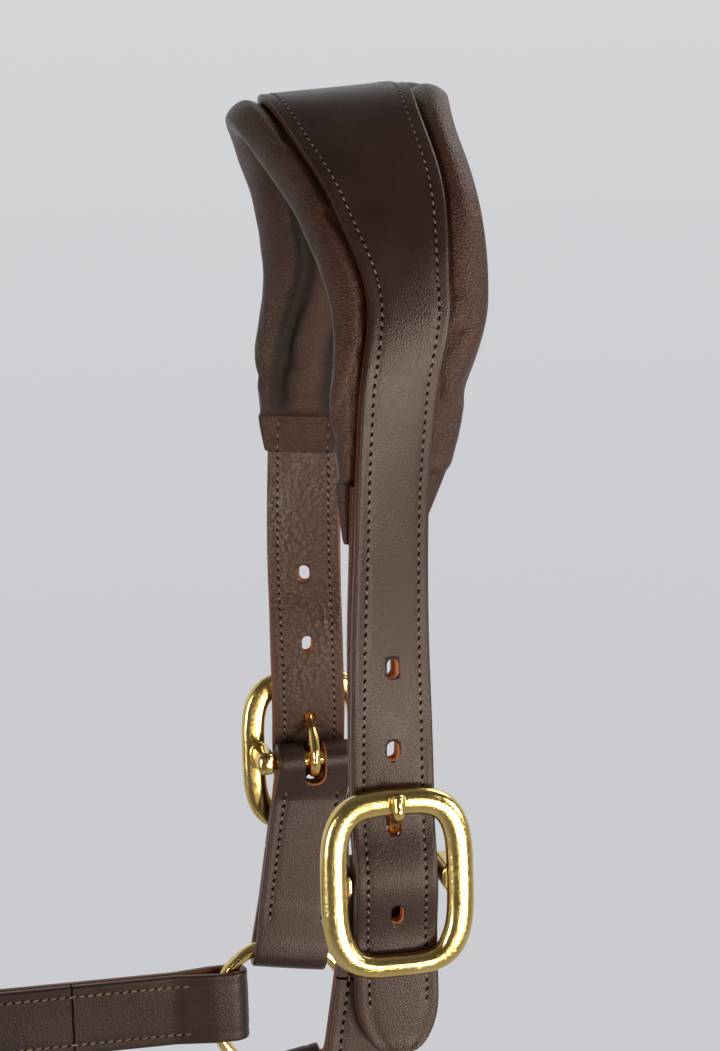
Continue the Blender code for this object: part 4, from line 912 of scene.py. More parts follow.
BAR_DIAMETER = 0.0058
BAR_DEPTH = BILLET_BACK - BILLET_RISE + 2 * GAP + TONGUE_DIAMETER + BAR_DIAMETER / 2
BUCKLE_WIDTH = 0.0468
BUCKLE_HEIGHT = 0.0590
BUCKLE_BAR_WIDTH = 0.0080
BUCKLE_BAR_THICKNESS = 0.0050
FRAME_GRAIN = 0.0004
PIN_GRAIN = 0.00022
CHAPE_WIDTH = 0.0260
LUG_CLEARANCE = 0.0008
LUG_HEIGHT = 0.0080
LEG_REACH = float(np.interp(BAR_AT, LENGTHS, REACH))
BAR_HEIGHT = float(np.interp(BAR_AT, LENGTHS, HEIGHT))
LEG_SHIFT = CROWN_SHAPE[-1][1]
X, Y, Z = Vector((1.0, 0.0, 0.0)), Vector((0.0, 1.0, 0.0)), Vector((0.0, 0.0, 1.0))


def brass_finish(name, scratches=1.0):
    material, shader, shade, place = new_material(name)
    cloud = shade.noise(place, 90.0, 4.0, 0.6)
    tarnish = shade.noise(place, 260.0, 4.0, 0.7).step(0.56, 0.74)
    base = cloud.step(0.3, 0.7).mix(rgb(222, 190, 112), rgb(238, 210, 138))
    base = (tarnish * 0.3).mix(base, rgb(160, 124, 58))
    marks = shade.noise(shade.stretched(place, 500.0, 500.0, 4200.0), 1.0, 3.0, 0.6, 0.4)
    cross = shade.noise(shade.stretched(place, 3600.0, 700.0, 600.0), 1.0, 2.0, 0.6, 0.6)
    wear = marks.step(0.52, 0.7) * 0.6 + cross.step(0.58, 0.72) * 0.4
    normal = shade.bump(cloud, 0.0005, 0.25)
    normal = shade.bump(wear, 0.00002 * scratches, 0.6, normal)
    wire(shader, Base_Color=base, Metallic=1.0, Normal=normal,
         Roughness=wear * 0.10 + tarnish * 0.12 + (cloud * 0.08 + 0.11))
    return material


BRASS = brass_finish("polished brass")


def power_wave(value, size, power):
    return size * abs(value) ** (2 / power) * (1 if value >= 0 else -1)


def oval_point(angle, half_width, half_height, power):
    return Vector((power_wave(cos(angle), half_width, power), 0.0, power_wave(sin(angle), half_height, power)))


def buckle_loop(face_back):
    """The frame's bars round the opening: broad sides, a flatter and thinner foot."""
    count, around = 160, 28
    half_width = (BUCKLE_WIDTH - BUCKLE_BAR_WIDTH) / 2
    half_height = (BUCKLE_HEIGHT - BUCKLE_BAR_WIDTH) / 2
    fine = [oval_point(t, half_width, half_height, 3.6) for t in arc(0.0, 2 * pi, 4000)]
    steps = np.concatenate([[0.0], np.cumsum([(b - a).length for a, b in zip(fine, fine[1:])])])
    line = [fine[int(np.searchsorted(steps, steps[-1] * i / count))] for i in range(count)]
    travel, rings = [steps[-1] * i / count for i in range(count)], []
    for i, point in enumerate(line):
        run = (line[(i + 2) % count] - line[i - 2]).normalized()
        out = Vector((run.z, 0.0, -run.x))
        foot = smoothstep((-point.z / half_height - 0.75) / 0.25)
        width = BUCKLE_BAR_WIDTH * (1.03 - 0.16 * foot)
        shift = BUCKLE_BAR_WIDTH / 2 * 1.03 - width / 2
        ring = []
        for t in arc(0.0, 2 * pi, around)[:-1]:
            power = 2.35 if sin(t) > 0 else 3.2
            wide, thick = power_wave(cos(t), width / 2, power), power_wave(sin(t), BUCKLE_BAR_THICKNESS / 2, power)
            ring.append(point + (wide + shift * 0.8) * out + (face_back + BUCKLE_BAR_THICKNESS / 2 + thick) * Y)
        rings.append(ring)
    return skin("buckle_loop", rings, travel, closed=True)


def block(size):
    bm = bmesh.new()
    bmesh.ops.create_cube(bm, size=1.0, matrix=Matrix.Diagonal((*size, 1.0)))
    bmesh.ops.bevel(bm, geom=bm.edges[:], offset=0.0007, segments=3, affect="EDGES")
    return mesh_piece("block", bm)


def rod(radius, length, matrix):
    bm = bmesh.new()
    bmesh.ops.create_cone(bm, cap_ends=True, segments=40, radius1=radius, radius2=radius, depth=length, matrix=matrix)
    return mesh_piece("rod", bm)


def cast_in_one(pieces, grain):
    """Shapes melted into one casting: a voxel remesh joins them and smoothing fillets the corners."""
    whole = pieces[0]
    bm = bmesh.new()
    for piece in pieces:
        bm.from_mesh(piece.data)
    bm.to_mesh(whole.data)
    bm.free()
    for piece in pieces[1:]:
        bpy.data.objects.remove(piece)
    melt = whole.modifiers.new("melt", "REMESH")
    melt.mode, melt.voxel_size, melt.use_smooth_shade = "VOXEL", grain, True
    ease = whole.modifiers.new("ease", "SMOOTH")
    ease.factor, ease.iterations = 0.5, 2
    finished(whole)
    whole.data.shade_smooth()
    return whole


def buckle_place(hand):
    turn = Matrix.Rotation(0.0 if hand > 0 else pi, 4, "Z")
    return Matrix.Translation((LEG_SHIFT, hand * (LEG_REACH - BAR_DEPTH), BAR_HEIGHT)) @ turn


def build_buckle(hand, label):
    face_back = BAR_DEPTH + STRAP_THICKNESS + GAP
    inside = CHAPE_WIDTH / 2 + LUG_CLEARANCE
    outside = (BUCKLE_WIDTH - BUCKLE_BAR_WIDTH) / 2 + BUCKLE_BAR_WIDTH / 8
    parts = [buckle_loop(face_back)]
    level = face_back + BUCKLE_BAR_THICKNESS / 2
    foot = level / 2 - BAR_DIAMETER / 4 - (level + BAR_DIAMETER) / 2
    for sign in (-1, 1):
        rings = []
        for k in range(15):
            t = min(k / 6, 1.0)
            grown = sqrt(1 - (1 - t) ** 2) * 0.96 + 0.04
            y = foot + 0.0018 * t + (level - foot - 0.0018) * max(k - 6, 0) / 8
            middle = Vector((sign * (inside + outside) / 2, y, 0.0))
            ring = [oval_point(2 * pi * j / 32, (outside - inside) / 2 * grown, LUG_HEIGHT / 2 * grown, 2.8)
                    for j in range(32)]
            rings.append([middle + point for point in ring])
        parts.append(skin("lug", rings, [0.001 * k for k in range(15)]))
    parts.append(rod(BAR_DIAMETER / 2, inside + outside, Matrix.Rotation(pi / 2, 4, "Y")))
    buckle = cast_in_one(parts, FRAME_GRAIN)
    buckle.name = f"buckle_casting_{label}"
    buckle.data.transform(buckle_place(hand))
    dress(buckle, "crown", "brass", BRASS, f"buckle_frame_{label}")


def spline_line(points, steps=10):
    rows = [Vector(p) for p in points]
    rows = [2 * rows[0] - rows[1]] + rows + [2 * rows[-1] - rows[-2]]
    smooth = []
    for i in range(1, len(rows) - 2):
        smooth += smooth_run(*rows[i - 1:i + 3], steps)
    return smooth + [rows[-2]]


def pipe(name, points, radius, sides=24, wide=Vector((1.0, 0.0, 0.0)), flatten=None):
    """Round bar along a line, with domed ends."""
    rings, travel, count, length = [], [], len(points), 0.0
    for i, point in enumerate(points):
        run = (points[min(i + 1, count - 1)] - points[max(i - 1, 0)]).normalized()
        across = run.cross(wide).normalized()
        size = radius[i] if isinstance(radius, list) else radius
        broad = flatten[i] if flatten else (1.0, 1.0)
        length += (point - points[i - 1]).length if i else 0.0
        travel.append(length)
        rings.append([point + size * (broad[0] * cos(t) * wide + broad[1] * sin(t) * across)
                      for t in arc(0.0, 2 * pi, sides)[:-1]])
    caps = []
    for end, step in ((0, -1), (count - 1, 1)):
        run = (points[end] - points[end - step]).normalized()
        size = radius[end] if isinstance(radius, list) else radius
        caps.append([[points[end] + run * size * 0.9 * sin(t) + (p - points[end]) * cos(t) for p in rings[end]]
                     for t in arc(0.0, pi / 2, 6)[1:-1]])
    rings = list(reversed(caps[0])) + rings + caps[1]
    travel = [-0.001 * k for k in range(5, 0, -1)] + travel + [length + 0.001 * k for k in range(1, 6)]
    return skin(name, rings, travel)


def build_tongue(hand, label):
    """Eye round the bar, shank out through the billet's hole, and a flattened tip on the frame."""
    eye = BAR_DIAMETER / 2 + GAP + TONGUE_DIAMETER / 2
    turn = [Vector((0.0, eye * cos(t), eye * sin(t))) for t in arc(radians(95), -radians(275), 40)]
    hole = Vector((BAR_DEPTH + (STRAP_THICKNESS - BILLET_BACK) / 2 + billet_rise(TONGUE_HOLE_AT),
                   BAR_AT - TONGUE_HOLE_AT))
    slant = Vector((1.0, 1.0)).normalized()
    top_bar = BUCKLE_HEIGHT / 2 - BUCKLE_BAR_WIDTH / 2
    rest = BAR_DEPTH + STRAP_THICKNESS + BUCKLE_BAR_THICKNESS + 2 * GAP + TONGUE_DIAMETER / 2
    shank = [(-eye, 0.0), (0.0004 - eye, 0.0040), (-0.0008, 0.0092), hole - 0.0040 * slant, hole, hole + 0.0052 * slant,
             (rest - 0.0004, top_bar - 0.0032), (rest, top_bar), (rest - 0.0002, top_bar + 0.0022)]
    line = [Vector((0.0, p[0], p[1])) for p in spline_line([(p[0], p[1], 0.0) for p in shank])]
    count = len(line)
    radius = [TONGUE_DIAMETER / 2 * (1.06 - 0.08 * i / count) for i in range(count)]
    flatten = [(1.0 + 0.28 * smoothstep((i / count - 0.62) / 0.3), 1.0) for i in range(count)]
    pin = pipe("pin", line, radius, 24, flatten=flatten)
    loop = pipe("eye", turn, TONGUE_DIAMETER / 2, 24, flatten=[(1.14, 1.0)] * len(turn))
    tongue = cast_in_one([pin, loop], PIN_GRAIN)
    tongue.name = f"buckle_pin_{label}"
    tongue.data.transform(buckle_place(hand))
    dress(tongue, f"tongue_{label}", "brass", BRASS, f"buckle_tongue_{label}")


for hand, label in HANDS:
    build_buckle(hand, label)
    build_tongue(hand, label)

# ---- Buckle chapes
# Short straps of the same leather, folded round the centre bar and the upper ring, and sewn
# down both edges. A slot in the upper fold lets the tongue through.

CHAPE_LEAN = radians(9)
CHAPE_LEAN_START = 0.0030
CHAPE_TURN_REACH = 0.0250
BUTT_GAP = 0.0008
EASE = 0.0008
SLOT_HALF = 0.0038
SLOT_REACH = 0.0088
CHAPE_SEAM_TOP = 0.0115
CHAPE_SEAM_FOOT = 0.0085


def wrap_points(pin_radius, sag=0.0, pin_offset=0.0, reach=FOLD_REACH, play=GAP):
    """Centre line of a strap that comes in on its +c layer, goes round a pin and leaves on its -c layer."""
    radius = pin_radius + play + FOLD_THICKNESS / 2
    sides = []
    for sign in (1, -1):
        level = LAYER_OFFSET - sign * pin_offset
        tangent = min(atan2(level, reach) + acos(radius / hypot(level, reach)), pi / 2)
        sides.append([(reach, sign * LAYER_OFFSET)] + [(radius * cos(t), pin_offset + sign * radius * sin(t))
                                                       for t in arc(tangent, pi / 2 - tangent, 6)])
    round_end = [(-sag + radius * cos(t), pin_offset + radius * sin(t)) for t in arc(pi / 2, pi, 24)]
    return sides[0] + round_end + list(reversed(sides[1]))


def fold_sag(half_width):
    inner = RING_RADIUS - WIRE_RADIUS
    return inner - sqrt(inner ** 2 - half_width ** 2)


def even_path(path, step=EASE, rounds=4):
    """The path at even steps, with its corners eased as leather takes them."""
    points = [np.array(path[0], float)]
    for p in path[1:]:
        if np.linalg.norm(np.array(p) - points[-1]) > 0.00005:
            points.append(np.array(p, float))
    points = np.array(points)
    lengths = np.concatenate([[0.0], np.cumsum(np.linalg.norm(np.diff(points, axis=0), axis=1))])
    at = np.linspace(0.0, lengths[-1], max(int(lengths[-1] / step), 8))
    even = np.stack([np.interp(at, lengths, points[:, k]) for k in (0, 1)], axis=1)
    for _ in range(rounds):
        even[1:-1] = even[1:-1] * 0.5 + (even[:-2] + even[2:]) * 0.25
    return even, at


def folded_path(length, near, far, between=()):
    """Path round two pins, open at a butt joint half way along the layer on the -c side."""
    butt = length / 2
    out = [(a, -LAYER_OFFSET) for a in sorted(between) if a > butt + BUTT_GAP]
    back = [(a, LAYER_OFFSET) for a in sorted(between, reverse=True)]
    home = [(a, -LAYER_OFFSET) for a in sorted(between) if a < butt - BUTT_GAP]
    far_turn = [(length - a, -c) for a, c in wrap_points(**far)]
    return ([(butt + BUTT_GAP / 2, -LAYER_OFFSET)] + out + far_turn + back + wrap_points(**near) + home
            + [(butt - BUTT_GAP / 2, -LAYER_OFFSET)])


def strip_frames(path, origin, along, across, **even):
    """Frames along a path in a plane: centre, width direction, normal on the loop's outside."""
    points, travel = even_path(path, **even)
    wide = along.cross(across)
    turning = np.sum(points[:-1, 0] * points[1:, 1] - points[1:, 0] * points[:-1, 1])
    sign = -1.0 if turning > 0 else 1.0
    rows = []
    for i, (a, c) in enumerate(points):
        run = points[min(i + 1, len(points) - 1)] - points[max(i - 1, 0)]
        ahead, aside = (float(v) for v in run / np.linalg.norm(run))
        normal = (ahead * across - aside * along) * sign
        rows.append((origin + float(a) * along + float(c) * across, wide, normal, float(travel[i])))
    return rows


def strip_skin(name, rows, half_width, sewn=lambda travel: 1.0):
    """Strap along its frames. sewn(travel) says where stitches draw the outer face down."""
    rings, rawness = [], []
    for centre, wide, normal, travel in rows:
        half = half_width(centre) if callable(half_width) else half_width
        section = strap_section(half, -FOLD_THICKNESS / 2, FOLD_THICKNESS / 2, (False, True),
                                depth=0.00022 * sewn(travel), bulge=0.00012, flesh=0.6)
        rings.append(laid(section, centre, wide, normal))
        rawness += [r for _, _, r in section]
    return skin(name, rings, [row[3] for row in rows], rawness)


def strip_stitches(rows, half_width, allowed, inset=STITCH_INSET):
    """Rows of (point, outward) pairs along both edges, where allowed(centre) is true."""
    out = []
    for edge in (-1, 1):
        out.append([])
        for centre, wide, normal, _ in rows:
            half = half_width(centre) if callable(half_width) else half_width
            if allowed(centre):
                across = edge * (half - inset) * wide
                out[-1].append((centre + across + (FOLD_THICKNESS / 2 - THREAD_SINK) * normal, normal))
            else:
                out.append([])
    return [run for run in out if len(run) > 2]


def sewn_strap(name, stitches, body, rows, half_width, allowed, *nodes, **more):
    """A strap of the bridle leather along its frames, sewn down both edges where allowed(centre) is true."""
    dress(strip_skin(name, rows, half_width), body, "strap_leather", STRAP_LEATHER, *nodes)
    sew(stitches, strip_stitches(rows, half_width, allowed, **more), body)


CHAPE_LENGTH = BAR_TO_RING - RING_RADIUS


def lean(point):
    """Below the bar the chape swings forwards, and its front edge lifts as it turns."""
    below = max(BAR_HEIGHT - point.z - CHAPE_LEAN_START, 0.0)
    lift = (LEG_SHIFT - point.x) * tan(CHAPE_LEAN) * smoothstep(below / CHAPE_TURN_REACH)
    return point + lift * Z - below * tan(CHAPE_LEAN) * X


def chape_slot(hand):
    """U-shaped slot cutter through the upper fold."""
    low, high = SLOT_HALF - SLOT_REACH, BAR_DIAMETER + 2 * FOLD_THICKNESS
    outline = [(SLOT_HALF * cos(t), low + SLOT_HALF * sin(t)) for t in arc(pi, pi, 20)]
    outline += [(SLOT_HALF, high), (-SLOT_HALF, high)]
    rings = [[Vector((x, y, z)) for x, z in outline] for y in (-0.03, 0.03)]
    slot = skin("slot", rings, (0.0, 0.06))
    slot.data.materials.append(PUNCHED)
    slot.data.transform(buckle_place(hand))
    return slot


def build_chape(hand, label):
    half = CHAPE_WIDTH / 2
    middle = BAR_DEPTH - CHAPE_MIDDLE
    path = folded_path(CHAPE_LENGTH, dict(pin_radius=BAR_DIAMETER / 2, pin_offset=middle),
                       dict(pin_radius=WIRE_RADIUS, sag=fold_sag(half + GAP)))
    origin = Vector((LEG_SHIFT, hand * (LEG_REACH - BAR_DEPTH + middle), BAR_HEIGHT))
    rows = strip_frames(path, origin, -Z, -hand * Y)
    top, foot = BAR_HEIGHT - CHAPE_SEAM_TOP, BAR_HEIGHT - CHAPE_LENGTH + CHAPE_SEAM_FOOT

    def drawn(travel):
        z = float(np.interp(travel, [r[3] for r in rows], [r[0].z for r in rows]))
        return smoothstep((top - z) / 0.003 + 1) * smoothstep((z - foot) / 0.003 + 1)

    chape = strip_skin(f"chape_{label}", rows, half, sewn=drawn)
    for vertex in chape.data.vertices:
        vertex.co = lean(vertex.co)
    chape.data.materials.append(STRAP_LEATHER)
    carve(chape, [chape_slot(hand)])
    dress(chape, "crown", "strap_leather", None, f"buckle_chape_{label}")
    stitches = [[(lean(p), n) for p, n in row] for row in strip_stitches(rows, half, lambda c: foot < c.z < top)]
    sew(f"chape_stitches_{label}", stitches, "crown", **SUNK)


for hand, label in HANDS:
    build_chape(hand, label)

# ---- Rings
# Brass wire, bent round, brazed and polished. Upper and nose rings stand along the cheeks, the
# chin ring lies flat under the jaw, and each carries the folds of three straps.

RING_Y = LEG_REACH - CHAPE_MIDDLE
RING_Z = BAR_HEIGHT - BAR_TO_RING
RING_X = LEG_SHIFT - (BAR_TO_RING - CHAPE_LEAN_START) * tan(CHAPE_LEAN)
CHEEK_LENGTH = 0.1500
CHIN_DROP = 0.1290
NOSE_X = RING_X - CHEEK_LENGTH
RING_BRASS = brass_finish("ring brass", 0.8)


def ring_tree():
    """A wire of given width bent round to a given radius."""
    tree, given = new_tree("ring", ("Radius", "Wire Radius"), (), ("Material",))
    make = Shade(tree).make
    loop, section = (make("GeometryNodeCurvePrimitiveCircle", None, {"Resolution": count, "Radius": given[size]})
                     for count, size in ((144, "Radius"), (28, "Wire Radius")))
    bent = make("GeometryNodeCurveToMesh", None, {"Curve": loop, "Profile Curve": section})
    smooth = make("GeometryNodeSetShadeSmooth", None, {0: bent})
    paint = make("GeometryNodeSetMaterial", None, {"Geometry": smooth, "Material": given["Material"]})
    tree.links.new(paint.socket, tree.nodes.new("NodeGroupOutput").inputs[0])
    return tree


RING_TREE = ring_tree()


def build_ring(name, place, body, flat=False):
    piece = grown(put(f"{name}_wire", bpy.data.meshes.new(name)), RING_TREE,
                  {"Radius": RING_RADIUS, "Wire Radius": WIRE_RADIUS, "Material": RING_BRASS})
    turn = Matrix() if flat else Matrix.Rotation(pi / 2, 4, "X")
    piece.data.transform(Matrix.Translation(place) @ turn)
    bm = bmesh.new()
    bm.from_mesh(piece.data)
    bmesh.ops.recalc_face_normals(bm, faces=bm.faces)
    if bm.calc_volume(signed=True) < 0:
        bmesh.ops.reverse_faces(bm, faces=bm.faces)
    bm.to_mesh(piece.data)
    bm.free()
    dress(piece, body, "brass", None, name)


for hand, label in HANDS:
    build_ring(f"upper_ring_{label}", (RING_X, hand * RING_Y, RING_Z), f"ring_{label}")
    build_ring(f"nose_ring_{label}", (NOSE_X, hand * RING_Y, RING_Z), f"nose_ring_{label}_body")
build_ring("chin_ring", (NOSE_X, 0.0, RING_Z - CHIN_DROP), "chin_ring_body", flat=True)

# ---- Cheek straps
# Each is one strip folded round both of its rings and butted on the inside, then sewn down
# both edges between the folds.

CHEEK_RISE = 0.0035
CHEEK_SEAM_INSET = 0.010


def build_cheek(hand, label):
    half = STRAP_WIDTH / 2
    wrap = dict(pin_radius=WIRE_RADIUS, sag=fold_sag(half + CHEEK_RISE))
    length = CHEEK_LENGTH - 2 * RING_RADIUS
    origin = Vector((RING_X - RING_RADIUS, hand * RING_Y, RING_Z + CHEEK_RISE))
    rows = strip_frames(folded_path(length, wrap, wrap), origin, -X, hand * Y)
    near, far = RING_X - RING_RADIUS - CHEEK_SEAM_INSET, RING_X - RING_RADIUS - length + CHEEK_SEAM_INSET
    sewn_strap(f"cheek_{label}", f"cheek_stitches_{label}", "cheeks", rows, half, lambda c: far < c.x < near,
               f"cheek_strap_{label}")


for hand, label in HANDS:
    build_cheek(hand, label)

# ---- Noseband
# A strap that broadens over the nose, folded back at both nose rings, with a lining leather
# sewn inside between the folded ends.

NOSE_FORWARD = 0.0620
NOSE_DEPTH = 0.0520
NOSEBAND_WIDTH = 0.0380
NOSE_TAIL = 0.0330


def noseband_half_width(centre):
    ahead = NOSE_X - centre.x
    start = RING_RADIUS + FOLD_REACH
    broad = smoothstep((ahead - start) / (NOSE_FORWARD + NOSE_DEPTH / 2 - start))
    return (STRAP_WIDTH + (NOSEBAND_WIDTH - STRAP_WIDTH) * broad) / 2


def nose_arch(depth, reach, count=90):
    return [(NOSE_FORWARD + depth * cos(t), reach * sin(t)) for t in arc(-pi / 2, pi, count)]


def build_noseband():
    half = STRAP_WIDTH / 2
    turn = wrap_points(pin_radius=WIRE_RADIUS, sag=fold_sag(half))
    right = [(RING_RADIUS + a, RING_Y + c) for a, c in turn]
    left = [(a, -c) for a, c in reversed(right)]
    tail = RING_RADIUS + NOSE_TAIL
    inner, outer = RING_Y - LAYER_OFFSET, RING_Y + LAYER_OFFSET
    origin = Vector((NOSE_X, 0.0, RING_Z))
    path = [(tail, -inner)] + left + nose_arch(NOSE_DEPTH, outer) + right + [(tail, inner)]
    rows = strip_frames(path, origin, -X, Y, step=0.001)
    sewn_from = NOSE_X - RING_RADIUS - FOLD_REACH
    sewn_strap("noseband_leather", "noseband_stitches", "nose", rows, noseband_half_width, lambda c: c.x < sewn_from,
               "noseband")
    start = tail + BUTT_GAP
    depth = NOSE_DEPTH - FOLD_THICKNESS - GAP
    path = [(start, -inner)] + nose_arch(depth, inner) + [(start, inner)]
    rows = strip_frames(path, origin, -X, Y, step=0.001)
    rows = [(c, w, -n, t) for c, w, n, t in rows]
    lining = strip_skin("noseband_inside", rows, noseband_half_width)
    dress(lining, "nose", "lining_leather", LINING_LEATHER, "noseband_lining")
    sew("noseband_lining_stitches", strip_stitches(rows, noseband_half_width, lambda c: True), "nose")


build_noseband()

# ---- Chin straps and jaw strap
# Folded and sewn like the cheeks. The chin straps bend under the jaw to the chin ring, and
# the jaw strap runs back from it to a loop round the throat roll.

CHIN_CORNER = 0.0250
THROAT_END_WIDTH = 0.0190
ROLL_DIAMETER = 0.0100
JAW_SWING = radians(16)


def bend(path, straight, radius):
    quarter = radius * pi / 2
    bent = []
    for a, c in path:
        turn = min(max((a - straight) / radius, 0.0), pi / 2)
        after = max(a - straight - quarter, 0.0)
        bent.append((min(a, straight) + (radius - c) * sin(turn), radius - (radius - c) * cos(turn) + after))
    return bent


def build_chin_strap(hand, label):
    half = STRAP_WIDTH / 2
    straight = CHIN_DROP - RING_RADIUS - CHIN_CORNER
    level = RING_Y - RING_RADIUS - CHIN_CORNER
    quarter = CHIN_CORNER * pi / 2
    bends = [straight + quarter * i / 20 for i in range(21)]
    wrap = dict(pin_radius=WIRE_RADIUS, sag=fold_sag(half))
    length = straight + quarter + level
    path = bend(folded_path(length, wrap, wrap, bends), straight, CHIN_CORNER)
    origin = Vector((NOSE_X, hand * RING_Y, RING_Z - RING_RADIUS))
    rows = strip_frames(path, origin, -Z, -hand * Y)
    top, inner = RING_Z - RING_RADIUS - FOLD_REACH, RING_RADIUS + FOLD_REACH
    sewn_strap(f"chin_{label}", f"chin_stitches_{label}", "chin", rows, half,
               lambda c: c.z < top and abs(c.y) > inner, f"chin_strap_{label}")


def build_jaw_strap():
    half = THROAT_END_WIDTH / 2
    play = GAP + fold_sag(half) * sin(JAW_SWING)
    path = folded_path(CHEEK_LENGTH, dict(pin_radius=ROLL_DIAMETER / 2),
                       dict(pin_radius=WIRE_RADIUS, sag=fold_sag(half), play=play))
    rows = strip_frames(path, Vector((RING_X + RING_RADIUS, 0.0, RING_Z - CHIN_DROP)), -X, Z)
    rear, front = RING_X + RING_RADIUS - FOLD_REACH, NOSE_X + RING_RADIUS + FOLD_REACH
    sewn_strap("jaw", "jaw_stitches", "jaw", rows, half, lambda c: front < c.x < rear, "jaw_strap")


for hand, label in HANDS:
    build_chin_strap(hand, label)
build_jaw_strap()

# ---- Throat strap
# Leather rolled round a cord and sewn along the roll's inner side. Both ends are left flat,
# folded and sewn: the right one round the upper ring, the left one round the snap's eye.

ROLL_CORNER = 0.0360
ROLL_TAPER = 0.0130
ROLL_AROUND = 56
ROLL_SEAM_ANGLE = 0.42
THROAT_TILT = atan2(RING_RADIUS, CHIN_DROP)
THROAT_DROP = hypot(RING_RADIUS, CHIN_DROP)
THROAT_DOWN = Vector((sin(THROAT_TILT), 0.0, -cos(THROAT_TILT)))
THROAT_WIDE = Vector((cos(THROAT_TILT), 0.0, sin(THROAT_TILT)))
THROAT_TOP = Vector((RING_X, 0.0, RING_Z))
HOOK_WIRE = 0.0042
HOOK_MOUTH = 0.0100
HOOK_HEIGHT = 0.0150
BASE_HEIGHT = 0.0166
SWIVEL_FLOOR = 0.0030
EYE_DROP = 0.0070
EYE_WIRE = 0.0034
EYE_REACH = 0.0090
HOOK_RADIUS = (HOOK_MOUTH + HOOK_WIRE) / 2
CROOK_Q = WIRE_RADIUS + GAP - HOOK_MOUTH / 2
BASE_TOP = CROOK_Q - HOOK_HEIGHT
BASE_BOTTOM = BASE_TOP - BASE_HEIGHT
EYE_TOP_Q = BASE_BOTTOM - EYE_WIRE
EYE_BAR_Q = EYE_TOP_Q - EYE_DROP - EYE_WIRE
EYE_AT = RING_RADIUS - EYE_BAR_Q


def throat_point(y, drop, wide=0.0):
    return THROAT_TOP + y * Y + drop * THROAT_DOWN + wide * THROAT_WIDE


def roll_line(right_drop, left_drop, step=0.0016):
    """Down the right side, across under the jaw and up the left side, as (y, drop) at even steps."""
    corner, across = THROAT_DROP - ROLL_CORNER, RING_Y - ROLL_CORNER
    bend_right = [(across + ROLL_CORNER * cos(t), corner + ROLL_CORNER * sin(t)) for t in arc(0.0, pi / 2, 40)]
    line = [(RING_Y, right_drop)] + bend_right + [(-y, d) for y, d in reversed(bend_right)] + [(-RING_Y, left_drop)]
    return even_path(line, step=step, rounds=2)


def build_roll(right_drop, left_drop):
    """One skin: flat and sewn at each end, round between, with a seam along the inner side."""
    points, travel = roll_line(right_drop, left_drop)
    flat_in, flat_wide = LAYER_OFFSET + FOLD_THICKNESS / 2, THROAT_END_WIDTH / 2
    rings, seam_rows = [], ([], [])
    count = len(points)
    for i, (y, drop) in enumerate(points):
        run = points[min(i + 1, count - 1)] - points[max(i - 1, 0)]
        run = run / np.linalg.norm(run)
        inward = Vector(throat_point(-float(run[1]), float(run[0])) - throat_point(0.0, 0.0))
        reach = min(travel[i], travel[-1] - travel[i]) / ROLL_TAPER
        blend = smoothstep(reach)
        power = 2 + 4 * (1 - blend)
        in_plane = flat_in + (ROLL_DIAMETER / 2 - flat_in) * blend
        wide = flat_wide + (ROLL_DIAMETER / 2 - flat_wide) * blend
        centre = throat_point(float(y), float(drop))
        ring = []
        for t in arc(0.0, 2 * pi, ROLL_AROUND)[:-1]:
            point = oval_point(t, in_plane, wide, power)
            crease = 1.0 - 0.14 * blend * exp(-((t if t < pi else t - 2 * pi) / 0.13) ** 2)
            ring.append(centre + (point.x * inward + point.z * THROAT_WIDE) * crease)
        rings.append(ring)
        if reach > 1.05:
            for row, t in zip(seam_rows, (-ROLL_SEAM_ANGLE, ROLL_SEAM_ANGLE)):
                out = cos(t) * inward + sin(t) * THROAT_WIDE
                row.append((centre + out * (ROLL_DIAMETER / 2 - 0.0001), out))
    rawness = [0.0] * ROLL_AROUND
    for k in (-1, 0, 1):
        rawness[k] = 0.7
    roll = skin("throat_roll", rings, list(travel), rawness * count)
    dress(roll, "throat", "strap_leather", ROLL_LEATHER, "throat_strap")
    sew("throat_seam", seam_rows, "throat")


def build_throat_end(label, y, pin_drop, wrap, tail):
    half = THROAT_END_WIDTH / 2
    path = [(tail, LAYER_OFFSET)] + wrap_points(**wrap) + [(tail, -LAYER_OFFSET)]
    rows = strip_frames(path, throat_point(y, pin_drop), THROAT_DOWN, Y)
    start = wrap.get("reach", FOLD_REACH) - 0.004
    pin = throat_point(y, pin_drop)
    sewn_strap(f"throat_end_{label}", f"throat_end_stitches_{label}", "throat", rows, half,
               lambda c: start < (c - pin).dot(THROAT_DOWN) < tail, inset=0.0030)


ROLL_LEATHER = leather("rolled leather", rgb(38, 22, 17), rgb(56, 36, 28), rgb(80, 46, 32), rough=(0.32, 0.42))
right_tail = FOLD_REACH + ROLL_TAPER / 2
left_tail = EYE_REACH + GAP
build_roll(RING_RADIUS + right_tail - FOLD_THICKNESS, EYE_AT + left_tail - FOLD_THICKNESS / 2)
build_throat_end("right", RING_Y, RING_RADIUS, dict(pin_radius=WIRE_RADIUS, sag=fold_sag(THROAT_END_WIDTH / 2)),
                 right_tail)
build_throat_end("left", -RING_Y, EYE_AT, dict(pin_radius=EYE_WIRE / 2, reach=EYE_REACH), left_tail)
refinish("throat_core", plain_finish("cord", rgb(200, 188, 160), rgb(170, 156, 126), 500.0, 0.95))

# ---- Snap hook
# A cast brass hook on a slotted base. A round gate turns on a steel pin and a leaf spring
# closes it. The eye's riveted shank swivels in the base.

